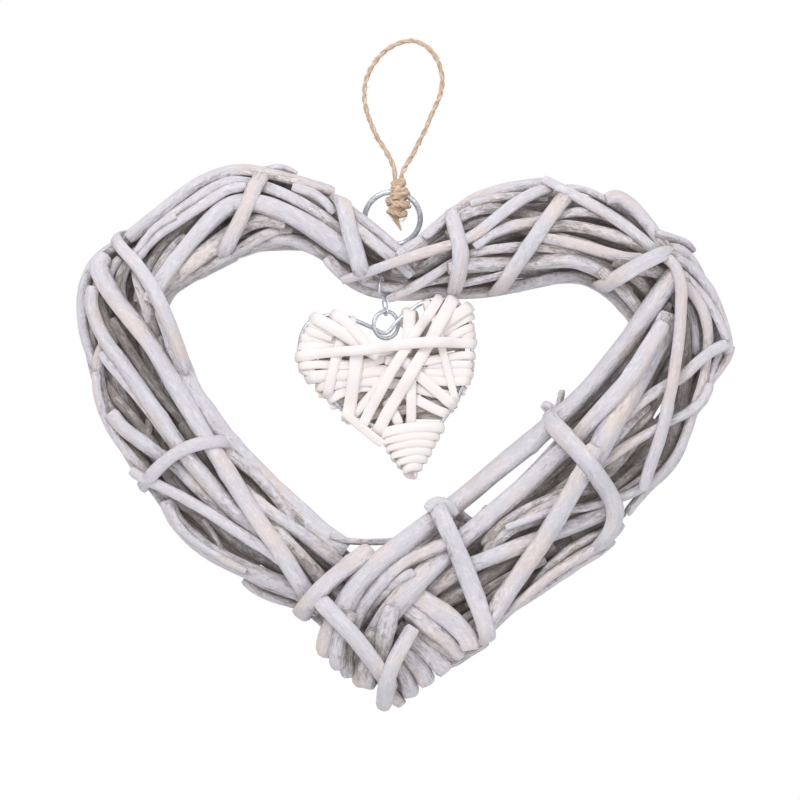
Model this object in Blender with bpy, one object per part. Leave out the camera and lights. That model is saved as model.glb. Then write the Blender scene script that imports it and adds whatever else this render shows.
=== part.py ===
"""Wicker heart wreath: willow rods bound into a heart, with a twine loop and a small woven heart in its opening.

Metres, +Z up. The wreath hangs in the XZ plane and faces -Y. The origin is the top of the twine loop.
"""
import math

import bmesh
import bpy
import numpy as np
from mathutils import Matrix, Vector

# Overall sizes
WREATH_WIDTH = 0.261
WREATH_HEIGHT = 0.219
WREATH_DROP = 0.050          # from the top of the twine loop down to the wreath's shoulders
WREATH_SHIFT = -0.0008       # the wreath's middle, beside the line that it hangs on
BUNDLE_HALF_DEPTH = 0.0145   # from the wreath's plane to the middle of a front rod
TIP_END_HALF_DEPTH = 0.0060
BUNDLE_HALF_WIDTH = 0.0200
LAYER = 0.0060               # how far out a rod lies that crosses over another
CLEARANCE = 0.0003           # between neighbouring pieces
PAIR_MARGIN = 0.0040         # rods that are further apart than this are not tested against each other

# Willow rods, radii
THICK = 0.0046
STOUT = 0.0040
MEDIUM = 0.0034
SLIM = 0.0028
THIN = 0.0021

# How finely the rods are faceted
ROD_SIDES = 6
ROD_STEP = 0.0175
ROD_TURN = math.radians(26)

# Galvanised hanging ring at the cleft
RING_RADIUS = 0.0111
RING_WIRE = 0.0011
RING_TILT = math.radians(20)
RING_PLACE = (-0.0062, 0.0, -0.0710)
RING_SEGMENTS = 26
WIRE_SIDES = 6

# Jute twine
TWINE_RADIUS = 0.0010
TWINE_STEP = 2.5             # spacing of the points along the twine, in diameters
KNOT_TOP = -0.0575
KNOT_PLACE = -0.0039         # beside the line that the wreath hangs on
KNOT_RADIUS = 0.0044
KNOT_HEIGHT = 0.0118
KNOT_TAIL = 0.0066
KNOT_SIDES = 10
KNOT_SHAPE = ((0.0, 0.60), (0.12, 0.84), (0.35, 1.0), (0.65, 0.98), (0.88, 0.76), (1.0, 0.52))
KNOT_TAIL_SHAPE = ((0.30, 0.40), (0.75, 0.36), (1.0, 0.26))

# Small woven heart
HEART_WIDTH = 0.0724
HEART_HEIGHT = 0.0712
HEART_WIRE = 0.0008
HEART_WIRE_POINTS = 34
HEART_RING_RADIUS = 0.0054
HEART_RING_WIRE = 0.0008
HEART_RING_TURN = math.radians(27)
HEART_RING_PLACE = (-0.0088, -0.0090, -0.1137)
LINK_WIRE = 0.0005
LINKED_STATION = (-1, -62)   # where the link goes round the cleft's bottom rod: station and angle
LINK_SLACK = 1.3             # how much wider the link is than the rod that it goes round
LINK_PINCH = 0.25            # how far its lower end is drawn in
STRIP_WIDTH = 0.0041
STRIP_THICKNESS = 0.0010
STRIP_TUCK = 0.0070          # how far a strip's loose end runs on behind the wire
COIL_STRIP_HEIGHT = 0.0024
COIL_TURNS = 6
COIL_TURN_POINTS = 11
COIL_START = math.radians(135)
COIL_TOP_HALF_WIDTH = 0.0140
COIL_END_HALF_WIDTH = 0.0036
COIL_TOP_HALF_DEPTH = 0.0042
COIL_END_HALF_DEPTH = 0.0024
COIL_FULLNESS = 1.6          # 1 would make the coil a plain cone

# The small heart's wire from the cleft round the right lobe to the point and back round the left lobe:
# shares of its width and height, measured from its cleft to the right and down
HEART_LINE_SHARES = ((0.0, 0.0), (0.088, -0.090), (0.210, -0.174), (0.342, -0.190), (0.442, -0.112),
                     (0.475, 0.073), (0.420, 0.298), (0.305, 0.500), (0.232, 0.607), (0.171, 0.697),
                     (0.127, 0.753), (0.083, 0.685), (0.011, 0.573), (-0.110, 0.494), (-0.215, 0.449),
                     (-0.376, 0.270), (-0.468, 0.105), (-0.442, -0.040), (-0.320, -0.100), (-0.190, -0.078),
                     (-0.077, -0.032))
COIL_TOP = (0.133, 0.550)
COIL_END = (0.133, 0.778)

# A strip's runs across the small heart's front, in the same shares: the layer, then where the run starts at
# the wire, what it passes on its way, and where it ends
ACROSS_RUNS = ((0, (-0.459, -0.006), (0.0, 0.079), (0.470, -0.101)),
               (0, (-0.475, 0.062), (0.0, 0.140), (0.486, 0.011)),
               (3, (-0.481, 0.124), (0.0, 0.096), (0.497, 0.079)),
               (0, (-0.442, 0.197), (0.0, 0.202), (0.492, 0.146)),
               (0, (-0.392, 0.264), (0.0, 0.264), (0.475, 0.225)))
ACROSS_BACK_DIPS = (0.090, 0.152, 0.214, 0.276)
DOWN_RUNS = ((2, (-0.354, -0.101), (-0.331, 0.343)),
             (2, (-0.210, -0.084), (-0.238, 0.438)),
             (2, (0.166, -0.152), (-0.166, 0.494)),
             (2, (0.348, -0.197), (-0.099, 0.545)))
SLANT_RUNS = ((1, (-0.431, -0.062), (0.348, 0.438)),
              (1, (0.272, -0.184), (0.403, 0.326)))
ACROSS_BACK_LAYER = 0
SLANT_BACK_LAYER = 1
DOWN_BACK_LAYER = 2

# The heart's middle line from the cleft down to the tip: shares of the wreath's width and height
LEFT_LINE = ((-0.012, 0.188), (-0.086, 0.137), (-0.162, 0.086), (-0.239, 0.079), (-0.315, 0.110),
             (-0.392, 0.170), (-0.435, 0.265), (-0.426, 0.375), (-0.384, 0.484), (-0.319, 0.590),
             (-0.247, 0.676), (-0.162, 0.759), (-0.093, 0.828), (-0.032, 0.901))
RIGHT_LINE = ((-0.012, 0.188), (0.052, 0.166), (0.113, 0.143), (0.205, 0.121), (0.297, 0.137),
              (0.374, 0.197), (0.413, 0.302), (0.381, 0.415), (0.315, 0.506), (0.239, 0.598),
              (0.162, 0.686), (0.075, 0.777), (0.014, 0.850), (-0.032, 0.901))

# Half widths of the bundle at a station, outward of the middle line and inward, as shares of BUNDLE_HALF_WIDTH
OUTWARD = ((-100, 0.5), (-87, 0.475), (-80, 0.625), (-70, 0.9), (-50, 0.85), (-40, 0.875),
           (-30, 0.775), (-20, 0.8), (-10, 0.55), (0, 0.4), (10, 0.8), (18, 0.95),
           (28, 0.85), (35, 0.75), (42, 1.0), (50, 0.95), (60, 1.225), (80, 1.125),
           (90, 0.9), (100, 0.6))
INWARD = ((-100, 1.25), (-80, 1.1), (-65, 1.2), (-45, 1.0), (-39, 0.825), (-30, 0.975),
          (-20, 0.9), (-10, 0.5), (0, 0.6), (7, 0.9), (18, 0.975), (30, 0.75),
          (38, 0.7), (48, 1.05), (60, 1.2), (75, 1.375), (90, 1.4), (100, 1.35))

# The tip's own middle line, from where the two sides meet, and its half widths
TIP_TOP = (-0.012, 0.686)
TIP_END = (-0.032, 0.992)
TIP_LEFT = ((0, 2.05), (35, 1.925), (55, 1.5), (70, 1.225), (85, 0.8), (93, 0.45), (100, 0.2))
TIP_RIGHT = ((0, 2.05), (35, 1.95), (55, 1.65), (70, 1.3), (85, 0.7), (93, 0.4), (100, 0.2))

# The twine loop's route from the knot round and back to it, as shares of its height: aside, and down
TWINE_ROUTE = ((-0.089, 1.000), (-0.098, 0.892), (-0.147, 0.787), (-0.220, 0.664), (-0.285, 0.507),
               (-0.304, 0.385), (-0.290, 0.266), (-0.229, 0.147), (-0.136, 0.052), (0.0, 0.0),
               (0.105, 0.024), (0.189, 0.105), (0.236, 0.231), (0.229, 0.360), (0.171, 0.503),
               (0.108, 0.647), (0.038, 0.787), (-0.035, 0.913), (-0.047, 1.000))

# Colours: base colour and roughness
WILLOW = ((0.62, 0.59, 0.58, 1.0), 0.85)
WILLOW_SHADE = ((0.48, 0.45, 0.43, 1.0), 0.88)
CREAM = ((0.86, 0.80, 0.76, 1.0), 0.75)
JUTE = ((0.58, 0.40, 0.24, 1.0), 0.95)
ZINC = ((0.55, 0.58, 0.60, 1.0), 0.38)


def clear_scene():
    """Removes the objects that a new file starts with."""
    for thing in list(bpy.data.objects):
        bpy.data.objects.remove(thing, do_unlink=True)


def material(name, finish, metallic=0.0):
    """A plain material of one colour."""
    made = bpy.data.materials.new(name)
    made.use_nodes = True
    shader = made.node_tree.nodes["Principled BSDF"]
    shader.inputs["Base Color"].default_value = finish[0]
    shader.inputs["Roughness"].default_value = finish[1]
    shader.inputs["Metallic"].default_value = metallic
    return made


def smooth_line(points, per_span=12):
    """A smooth curve through the points, as an array, with its running length."""
    route = np.array(points, float)
    padded = np.vstack([2 * route[0] - route[1], route, 2 * route[-1] - route[-2]])
    share = np.linspace(0.0, 1.0, per_span, endpoint=False)[:, None]
    spans = []
    for before, start, end, after in zip(padded, padded[1:], padded[2:], padded[3:]):
        cubic = 3 * (start - end) + after - before
        square = 2 * before - 5 * start + 4 * end - after
        spans.append(0.5 * (2 * start + (end - before) * share + square * share ** 2 + cubic * share ** 3))
    line = np.vstack(spans + [route[-1:]])
    steps = np.linalg.norm(np.diff(line, axis=0), axis=1)
    return line, np.concatenate([[0.0], np.cumsum(steps)])


def resample(line, run, count):
    """The line again, at evenly spaced points."""
    marks = np.linspace(0.0, run[-1], count)
    return np.column_stack([np.interp(marks, run, line[:, axis]) for axis in range(line.shape[1])])


def total_turn(line):
    """The sum of a line's bends."""
    ways = np.diff(line, axis=0)
    ways /= np.linalg.norm(ways, axis=1)[:, None]
    return float(np.arccos(np.clip((ways[:-1] * ways[1:]).sum(axis=1), -1.0, 1.0)).sum())


def on_wreath(share):
    """A point in the wreath's plane, from its shares of the width and height."""
    return WREATH_SHIFT + share[0] * WREATH_WIDTH, -WREATH_DROP - share[1] * WREATH_HEIGHT


def heart_line():
    """The middle line from the tip up the left side, through the cleft and down the right side to the tip."""
    left, left_run = smooth_line([on_wreath(share) for share in LEFT_LINE])
    right, right_run = smooth_line([on_wreath(share) for share in RIGHT_LINE])
    line = np.vstack([left[::-1], right[1:]])
    stations = np.concatenate([-100 * left_run[::-1] / left_run[-1], 100 * right_run[1:] / right_run[-1]])
    return line, stations


HEART_LINE, HEART_STATIONS = heart_line()


def profile(table, station):
    """A half width's share read from a table of stations."""
    return float(np.interp(station, [row[0] for row in table], [row[1] for row in table]))


def round_section(middle, outward, across, depth, angle, lift):
    """A point round a bundle: 0 degrees in front, 90 outward, -90 inward and 180 behind."""
    turn = math.radians(angle)
    side = (across + lift * LAYER) * math.sin(turn)
    front = (depth + lift * LAYER) * math.cos(turn)
    return middle[0] + outward[0] * side, -front, middle[1] + outward[1] * side


def side(station, angle, lift=0.0):
    """A point on the heart's bundle, at a station from -100 through the cleft's 0 to 100."""
    middle = [float(np.interp(station, HEART_STATIONS, HEART_LINE[:, axis])) for axis in (0, 1)]
    ahead = [float(np.interp(station + 1.5, HEART_STATIONS, HEART_LINE[:, axis])) for axis in (0, 1)]
    back = [float(np.interp(station - 1.5, HEART_STATIONS, HEART_LINE[:, axis])) for axis in (0, 1)]
    way = Vector((ahead[0] - back[0], ahead[1] - back[1])).normalized()
    across = BUNDLE_HALF_WIDTH * profile(OUTWARD if math.sin(math.radians(angle)) > 0 else INWARD, station)
    return round_section(middle, (-way.y, way.x), across, BUNDLE_HALF_DEPTH, angle, lift)


def tip(station, angle, lift=1.0):
    """A point on the tip's bundle: 0 where the sides meet and 100 at the lowest end, 90 degrees on the right."""
    share = station / 100
    top = on_wreath(TIP_TOP)
    end = on_wreath(TIP_END)
    middle = (top[0] + (end[0] - top[0]) * share, top[1] + (end[1] - top[1]) * share)
    across = BUNDLE_HALF_WIDTH * profile(TIP_RIGHT if math.sin(math.radians(angle)) > 0 else TIP_LEFT, station)
    narrowing = max(0.0, share - 0.5) * 2
    depth = BUNDLE_HALF_DEPTH + (TIP_END_HALF_DEPTH - LAYER - BUNDLE_HALF_DEPTH) * narrowing ** 2
    return round_section(middle, (1.0, 0.0), across - lift * LAYER, depth, angle, lift)


def by_ring(aside, behind, above):
    """A point beside the large ring's middle, in radii of the ring."""
    return tuple(place + RING_RADIUS * share for place, share in zip(RING_PLACE, (aside, behind, above)))


def left_rods():
    """The left lobe's and side's rods: name, radii at the two ends, and route."""
    return [
        ("left_outer_rod", MEDIUM, STOUT,
         [side(-1, 40, 0.6), side(-5, 62, 0.3), side(-10, 82), side(-16, 72, -0.3), side(-24, 84), side(-33, 62),
          side(-40, 80, -0.3), side(-47, 62, -0.4)]),
        ("left_upper_rod", STOUT, SLIM,
         [side(-3, 12), side(-9, 4), side(-14, 10), side(-19, 34), side(-24, 52), side(-33, 40), side(-39, 42)]),
        ("left_crown_rod", SLIM, THIN,
         [side(-12, 55), side(-16, 50), side(-21, 34), side(-27, 26), side(-34, 16), side(-38, 12)]),
        ("left_front_rod", STOUT, MEDIUM,
         [side(-4, -32), side(-8, -34), side(-14, -22), side(-20, 12), side(-25, 2), side(-31, -14),
          side(-37, -34), side(-42, -40)]),
        ("left_lobe_inner_rod", MEDIUM, SLIM,
         [side(-4, -70), side(-8, -62), side(-13, -78), side(-20, -88), side(-28, -88), side(-36, -78),
          side(-41, -68)]),
        ("left_lobe_core_rod", MEDIUM, MEDIUM,
         [side(-12, -50, -0.2), side(-18, -34), side(-24, -40), side(-31, -52), side(-37, -62)]),
        ("left_side_thick_rod", MEDIUM, THICK,
         [side(-38, 74), side(-41, 40), side(-45, 0), side(-51, -30), side(-58, -38), side(-66, -36),
          side(-76, -28), side(-83, -14), side(-88, 0)]),
        ("left_side_front_rod", MEDIUM, STOUT,
         [side(-41, 62), side(-45, 38), side(-50, 4), side(-57, -12), side(-64, -12), side(-72, -6),
          side(-79, -12), side(-85, -30)]),
        ("left_side_short_rod", SLIM, MEDIUM,
         [side(-46, 44), side(-50, 28), side(-54, 10), side(-60, 6), side(-66, 6)]),
        ("left_side_tip_rod", SLIM, MEDIUM,
         [side(-52, 56), side(-56, 40), side(-61, 26), side(-66, 24), side(-72, 14), side(-78, 4),
          side(-84, 10), tip(33, -48, 1.0), tip(44, -40, 1.5), tip(60, -20, 1.6), tip(76, -4, 1.5)]),
        ("left_side_outer_rod", SLIM, MEDIUM,
         [side(-43, 22, -0.6), side(-47, 44, -0.2), side(-52, 72), side(-58, 88), side(-66, 76)]),
        ("left_lower_outer_rod", MEDIUM, STOUT,
         [side(-61, 56), side(-66, 74, -0.4), side(-71, 84, -0.5), side(-77, 74, -0.3), side(-83, 50), side(-89, 20),
          tip(62, -30, -0.1), tip(84, -10, -0.1)]),
        ("left_side_back_inner_rod", SLIM, MEDIUM,
         [side(-60, -118), side(-68, -122), side(-78, -118), side(-88, -112)]),
        ("left_side_inner_rod", MEDIUM, THICK,
         [side(-43, -84), side(-50, -84), side(-57, -76), side(-65, -78), side(-74, -80), side(-84, -78),
          side(-91, -72)]),
        ("left_back_rod_1", MEDIUM, STOUT,
         [side(-6, 140), side(-18, 150), side(-34, 130), side(-50, 150), side(-66, 138), side(-80, 150)]),
        ("left_back_rod_2", MEDIUM, STOUT,
         [side(-10, -140), side(-26, -135), side(-44, -145), side(-62, -165), side(-78, -158), side(-90, -150)]),
    ]


def right_rods():
    """The cleft's rods and the right lobe's and side's rods: name, radii at the two ends, and route."""
    return [
        ("cleft_crossing_rod", SLIM, SLIM,
         [side(-5, -62, 0.9), side(-2, -20, 1.0), side(2, 4, 1.0), side(7, 4, 0.4), side(12, 16), side(15, 34),
          side(19, 54), side(24, 66), side(29, 72), side(34, 50)]),
        ("cleft_ring_rod", THIN, SLIM,
         [by_ring(-0.57, -0.65, -0.54), by_ring(0.02, -0.45, -0.70), by_ring(0.67, 0.02, -0.81),
          by_ring(1.10, -0.05, -0.77), side(5, 56), side(9, 78), side(14, 90), side(20, 86), side(24, 52),
          side(29, 28), side(34, 22)]),
        ("cleft_lower_rod", SLIM, SLIM,
         [side(1, -62, 0.4), side(4, -34, 0.4), side(7, -20), side(13, -22), side(20, -30), side(27, -36),
          side(34, -48)]),
        ("cleft_bottom_rod", MEDIUM, MEDIUM,
         [side(-7, -80), side(-4, -66), side(-1, -62), side(3, -70, -0.3), side(8, -88, -0.5), side(16, -90),
          side(23, -90), side(28, -76), side(33, -84)]),
        ("right_lobe_front_rod", SLIM, SLIM,
         [side(10, -4, -0.3), side(15, 2), side(20, 14), side(26, 32), side(31, 38), side(35, 34)]),
        ("right_lobe_middle_rod", SLIM, SLIM,
         [side(17, 0), side(22, -6), side(27, -2), side(32, 4), side(36, 10)]),
        ("right_outer_rod", SLIM, MEDIUM,
         [side(33, 66), side(38, 76), side(42, 88), side(48, 90)]),
        ("right_side_long_rod", SLIM, SLIM,
         [side(36, 42), side(41, 40), side(46, 48), side(51, 70), side(56, 88), side(61, 72), side(66, 36),
          side(72, 10), side(79, -8)]),
        ("right_inner_edge_rod", STOUT, THICK,
         [side(36, 24), side(39, -20), side(43, -66), side(50, -88), side(60, -90), side(70, -84), side(78, -70),
          tip(-2, 14, 0.1), tip(12, -13), tip(34, -34), tip(51, -62), tip(61, -92), tip(66, -130)]),
        ("right_side_thick_rod", STOUT, THICK,
         [side(40, 10), side(47, -14), side(55, -16), side(61, -10), side(68, -14), side(75, -22), tip(8, 42, 0.6),
          tip(20, 20), tip(40, 0), tip(60, -16), tip(76, -34), tip(85, -80), tip(88, -140)]),
        ("right_side_front_rod", MEDIUM, MEDIUM,
         [side(39, -10), side(46, -36), side(53, -46), side(60, -44), side(66, -44)]),
        ("right_side_slant_rod", MEDIUM, SLIM,
         [side(43, 74), side(46, 44), side(49, 20), side(54, 4), side(60, 0)]),
        ("right_side_thin_rod", THIN, THIN,
         [side(48, 86, 0.3), side(51, 58), side(54, 32), side(59, 18), side(64, 14)]),
        ("right_lower_rod", SLIM, MEDIUM,
         [side(62, 80), side(67, 52), side(73, 24), side(79, 6), side(85, -4), side(91, -14)]),
        ("right_lower_outer_rod", MEDIUM, MEDIUM,
         [side(61, 100), side(67, 88), side(74, 84), side(82, 84), side(90, 70), tip(56, 50, -0.1),
          tip(80, 20, -0.1)]),
        ("right_back_rod_1", MEDIUM, STOUT,
         [side(7, 150), side(22, 140), side(38, 150), side(54, 138), side(70, 150), side(84, 160)]),
        ("right_back_rod_2", MEDIUM, STOUT,
         [side(8, -140), side(24, -140), side(42, -150), side(60, -142), side(76, -150), side(90, -140)]),
    ]


def bindings():
    """The short rods that are wound round the bundle, their ends tucked in behind."""
    return [
        ("left_shoulder_binding", SLIM, SLIM,
         [side(-35, 165, 1), side(-35.5, 120, 0.5), side(-36, 70, 0.5), side(-36.5, 20, 1), side(-39, -36, 1),
          side(-44, -72, 0.5), side(-51, -96, 0.5), side(-57, -130, 1), side(-60, -165, 1)]),
        ("left_lobe_binding", SLIM, SLIM,
         [side(-17, 170, 1), side(-17.5, 120, 0.5), side(-18.5, 70, 0.5), side(-21, 15, 1), side(-25, -42, 1),
          side(-29, -90, 0.5), side(-31, -140, 1), side(-32, -175, 1)]),
        ("left_cleft_binding", MEDIUM, SLIM,
         [side(-13, 165, 1), side(-12.5, 110, 0.5), side(-11, 60, 1), side(-8, 12, 1), side(-5.5, -45, 1),
          side(-5, -95, 0.5), side(-5, -150, 1)]),
        ("left_side_binding", SLIM, SLIM,
         [side(-67, -165, 1), side(-66.5, -115, 0.5), side(-65, -70, 0.5), side(-62.5, -20, 1), side(-63, 25, 1),
          side(-64, 75, 0.5), side(-64.5, 120, 0.5), side(-65, 165, 1)]),
        ("left_tip_binding", SLIM, MEDIUM,
         [side(-92, -150, 1), side(-91, -95, 0.5), side(-88.5, -45, 1), side(-86.5, 0, 1), side(-86.5, 50, 1),
          side(-87, 95, 0.5), side(-87, 150, 1)]),
        ("right_cleft_binding", MEDIUM, SLIM,
         [side(11, 165, 1), side(10, 115, 0.7), side(9.5, 65, 0.8), side(9, 15, 1), side(8, -30, 0.9),
          side(6.5, -70, 0.1), side(6, -115, 0.4), side(6, -165, 1)]),
        ("right_lobe_binding", SLIM, MEDIUM,
         [side(24, 165, 1), side(23, 115, 0.5), side(21.5, 68, 0.5), side(18.5, 20, 1), side(15.5, -25, 1),
          side(12, -75, 0.5), side(11, -120, 0.5), side(11, -165, 1)]),
        ("right_shoulder_binding", SLIM, SLIM,
         [side(28, -165, 1), side(28.5, -115, 0.5), side(29.5, -70, 0.5), side(32, -20, 1), side(34, 25, 1),
          side(35.5, 75, 0.5), side(36, 120, 0.5), side(36, 165, 1)]),
        ("right_side_winding", SLIM, SLIM,
         [side(34, 40, 1.5), side(37, 26, 1.5), side(42, 8, 1.2), side(48, 14, 1.0), side(54, 28, 1.0),
          side(60, 58, 0.8), side(64, 96, 0.5), side(67, 135, 0.8)]),
        ("right_side_binding", STOUT, STOUT,
         [side(64, -165, 1), side(64, -125, 0.5), side(64, -85, 0.5), side(64, -38, 1), side(64.5, 10, 1),
          side(66, 60, 1), side(69, 100, 0.5), side(71, 150, 1)]),
        ("right_diagonal_rod", STOUT, STOUT,
         [side(59, -16, 0.8), side(65, 0, 1.4), side(71, 18, 1), side(78, 44, 1), side(84, 72, 1), side(88, 105, 1),
          side(90, 145, 1)]),
        ("right_tip_binding", STOUT, STOUT,
         [side(80, -165, 1), side(81, -120, 1), side(82, -80, 1), side(83, -38, 1.2), side(84.5, 0, 1.2),
          side(87, 40, 1.2), side(89.5, 80, 1.2), side(91, 120, 1), side(91, 160, 1)]),
        ("tip_weave_upper", SLIM, SLIM,
         [tip(-1, 34, 0.8), tip(6, 20), tip(22, -6), tip(42, -26), tip(62, -46), tip(74, -70), tip(79, -110),
          tip(81, -150)]),
        ("tip_weave_end", MEDIUM, STOUT,
         [tip(46, 20, 1.2), tip(60, 8, 1.3), tip(76, -2, 1.2), tip(88, -4, 1.2), tip(96, 0, 1.0), tip(98, 120, 1.2)]),
        ("tip_weave_right_1", MEDIUM, STOUT,
         [tip(33, 14, 0.6), tip(42, 28), tip(52, 48), tip(59, 74), tip(62, 110), tip(61, 155)]),
        ("tip_weave_right_2", SLIM, SLIM,
         [tip(45, 6, 0.4), tip(55, 26), tip(64, 50), tip(70, 80), tip(72, 120), tip(71, 160)]),
        ("tip_weave_right_3", MEDIUM, MEDIUM,
         [tip(58, 8, 0.2), tip(68, 24), tip(77, 50), tip(82, 85), tip(83, 125), tip(82, 165)]),
    ]


def circle(centre, radius, tilt_axis, tilt, segments):
    """Points on a ring that faces the front and is then turned."""
    turn = Matrix.Rotation(tilt, 3, tilt_axis)
    points = []
    for index in range(segments):
        angle = 2 * math.pi * index / segments
        points.append(Vector(centre) + turn @ Vector((radius * math.sin(angle), 0.0, radius * math.cos(angle))))
    return np.array(points)


def link_loop(segments=14):
    """The wire link's loop: round the cleft's bottom rod, and through the top of the small ring."""
    rod_x, rod_y, rod_z = side(*LINKED_STATION)
    ring_x, ring_y, ring_z = HEART_RING_PLACE
    low = ring_z + HEART_RING_RADIUS - HEART_RING_WIRE - LINK_WIRE - 2.5 * CLEARANCE
    high = rod_z + MEDIUM + LINK_WIRE + 2 * CLEARANCE
    half = LINK_SLACK * (MEDIUM + LINK_WIRE + 2 * CLEARANCE)
    points = []
    for index in range(segments):
        angle = 2 * math.pi * index / segments
        rise = (1 + math.cos(angle)) / 2
        narrow = 1 - 2 * LINK_PINCH * (1 - rise)
        points.append((ring_x + (rod_x - ring_x) * rise,
                       ring_y + (rod_y - ring_y) * rise + half * narrow * math.sin(angle),
                       low + (high - low) * rise))
    return np.array(points)


class Bundle:
    """All rods as chains of points, which can be pushed apart until none overlaps."""

    def __init__(self, rods):
        self.names = []
        self.chains = []
        points = []
        radii = []
        for name, first_radius, last_radius, route in rods:
            line, run = smooth_line(route)
            count = 1 + max(int(math.ceil(run[-1] / ROD_STEP)), int(math.ceil(total_turn(line) / ROD_TURN)), 3)
            start = sum(len(chain) for chain in points)
            points.append(resample(line, run, count))
            radii.append(np.linspace(first_radius, last_radius, count))
            self.names.append(name)
            self.chains.append((start, start + count))
        self.free = sum(len(chain) for chain in points)
        self.points = np.vstack(points)
        self.radii = np.concatenate(radii)
        self.segments = [(index, index + 1) for start, end in self.chains for index in range(start, end - 1)]
        self.owner = [chain for chain, (start, end) in enumerate(self.chains) for _ in range(end - start - 1)]

    def add_fixed_ring(self, ring, radius):
        """Adds a closed ring that the rods have to clear."""
        start = len(self.points)
        self.points = np.vstack([self.points, ring])
        self.radii = np.concatenate([self.radii, np.full(len(ring), radius)])
        for index in range(len(ring)):
            self.segments.append((start + index, start + (index + 1) % len(ring)))
            self.owner.append(-start)

    def settle(self, rounds=420, quiet_rounds=160):
        """Pushes overlapping rods apart, and spreads each push smoothly along its rod."""
        ends = np.array(self.segments)
        owner = np.array(self.owner)
        home = self.points.copy()
        first, second = np.triu_indices(len(ends), 1)
        near_index = np.abs(ends[first, 0] - ends[second, 0]) < 4
        keep = ~((owner[first] == owner[second]) & (near_index | (owner[first] < 0)))
        keep &= ~((owner[first] < 0) & (owner[second] < 0))
        first, second = first[keep], second[keep]
        inner = np.zeros(len(self.points), bool)
        for start, end in self.chains:
            inner[start + 1:end - 1] = True
        inner = np.flatnonzero(inner)
        tip_ends = np.array([index for start, end in self.chains for index in (start, end - 1)])
        tip_inner = np.array([index for start, end in self.chains for index in (start + 1, end - 2)])
        for turn in range(rounds):
            if turn % 12 == 0:
                pairs = self.close_pairs(ends, first, second)
            moved, weight, worst = self.pushes(ends, *pairs)
            if turn > quiet_rounds and worst < 0.1 * CLEARANCE:
                if self.pushes(ends, *self.close_pairs(ends, first, second))[2] < 0.1 * CLEARANCE:
                    break
            shift = moved / np.maximum(weight, 1.0)[:, None]
            self.points[:self.free] += 1.15 * shift[:self.free]
            away = self.points - home
            easing = 0.45 if turn < quiet_rounds else 0.02
            away[inner] += easing * ((away[inner - 1] + away[inner + 1]) / 2 - away[inner])
            away[tip_ends] += easing * (away[tip_inner] - away[tip_ends])
            if turn < quiet_rounds:
                away *= 0.985
            self.points[:self.free] = (home + away)[:self.free]
        return worst

    def close_pairs(self, ends, first, second):
        """The pairs of segments that lie near each other."""
        middle = self.points[ends].mean(axis=1)
        half = np.linalg.norm(self.points[ends[:, 0]] - self.points[ends[:, 1]], axis=1) / 2
        reach = half + self.radii[ends].max(axis=1)
        space = np.linalg.norm(middle[first] - middle[second], axis=1)
        near = space < reach[first] + reach[second] + PAIR_MARGIN
        return first[near], second[near]

    def pushes(self, ends, first, second):
        """How far each point is pushed by the overlaps, how often, and the largest overlap."""
        start_a, end_a = self.points[ends[first, 0]], self.points[ends[first, 1]]
        start_b, end_b = self.points[ends[second, 0]], self.points[ends[second, 1]]
        share_a, share_b = closest_shares(start_a, end_a, start_b, end_b)
        near_a = start_a + (end_a - start_a) * share_a[:, None]
        near_b = start_b + (end_b - start_b) * share_b[:, None]
        between = near_a - near_b
        space = np.maximum(np.linalg.norm(between, axis=1), 1e-7)
        radius_a = self.radii[ends[first, 0]] * (1 - share_a) + self.radii[ends[first, 1]] * share_a
        radius_b = self.radii[ends[second, 0]] * (1 - share_b) + self.radii[ends[second, 1]] * share_b
        overlap = radius_a + radius_b + CLEARANCE - space
        hit = overlap > 0
        worst = float(overlap.max()) if len(overlap) else 0.0
        way = between[hit] / space[hit][:, None]
        fixed_a = ends[first[hit], 0] >= self.free
        fixed_b = ends[second[hit], 0] >= self.free
        part_a = np.where(fixed_b, 1.0, 0.5) * overlap[hit]
        part_b = np.where(fixed_a, 1.0, 0.5) * overlap[hit]
        moved = np.zeros_like(self.points)
        weight = np.zeros(len(self.points))
        for segment, share, part, sign in ((first[hit], share_a[hit], part_a, 1.0),
                                           (second[hit], share_b[hit], part_b, -1.0)):
            scale = part / ((1 - share) ** 2 + share ** 2)
            for end, pull in ((ends[segment, 0], 1 - share), (ends[segment, 1], share)):
                np.add.at(moved, end, sign * way * (scale * pull)[:, None])
                np.add.at(weight, end, pull)
        return moved, weight, worst

    def rods(self):
        """Each rod's name, points and radii."""
        for name, (start, end) in zip(self.names, self.chains):
            yield name, self.points[start:end], self.radii[start:end]


def closest_shares(start_a, end_a, start_b, end_b):
    """Where along two rows of segments each pair is closest, as shares of their lengths."""
    way_a = end_a - start_a
    way_b = end_b - start_b
    offset = start_a - start_b
    aa = (way_a * way_a).sum(axis=1)
    bb = (way_b * way_b).sum(axis=1)
    ab = (way_a * way_b).sum(axis=1)
    ao = (way_a * offset).sum(axis=1)
    bo = (way_b * offset).sum(axis=1)
    spread = np.maximum(aa * bb - ab * ab, 1e-18)
    share_a = np.clip((ab * bo - bb * ao) / spread, 0.0, 1.0)
    share_b = np.clip((ab * share_a + bo) / bb, 0.0, 1.0)
    share_a = np.clip((ab * share_b - ao) / aa, 0.0, 1.0)
    return share_a, share_b


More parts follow.
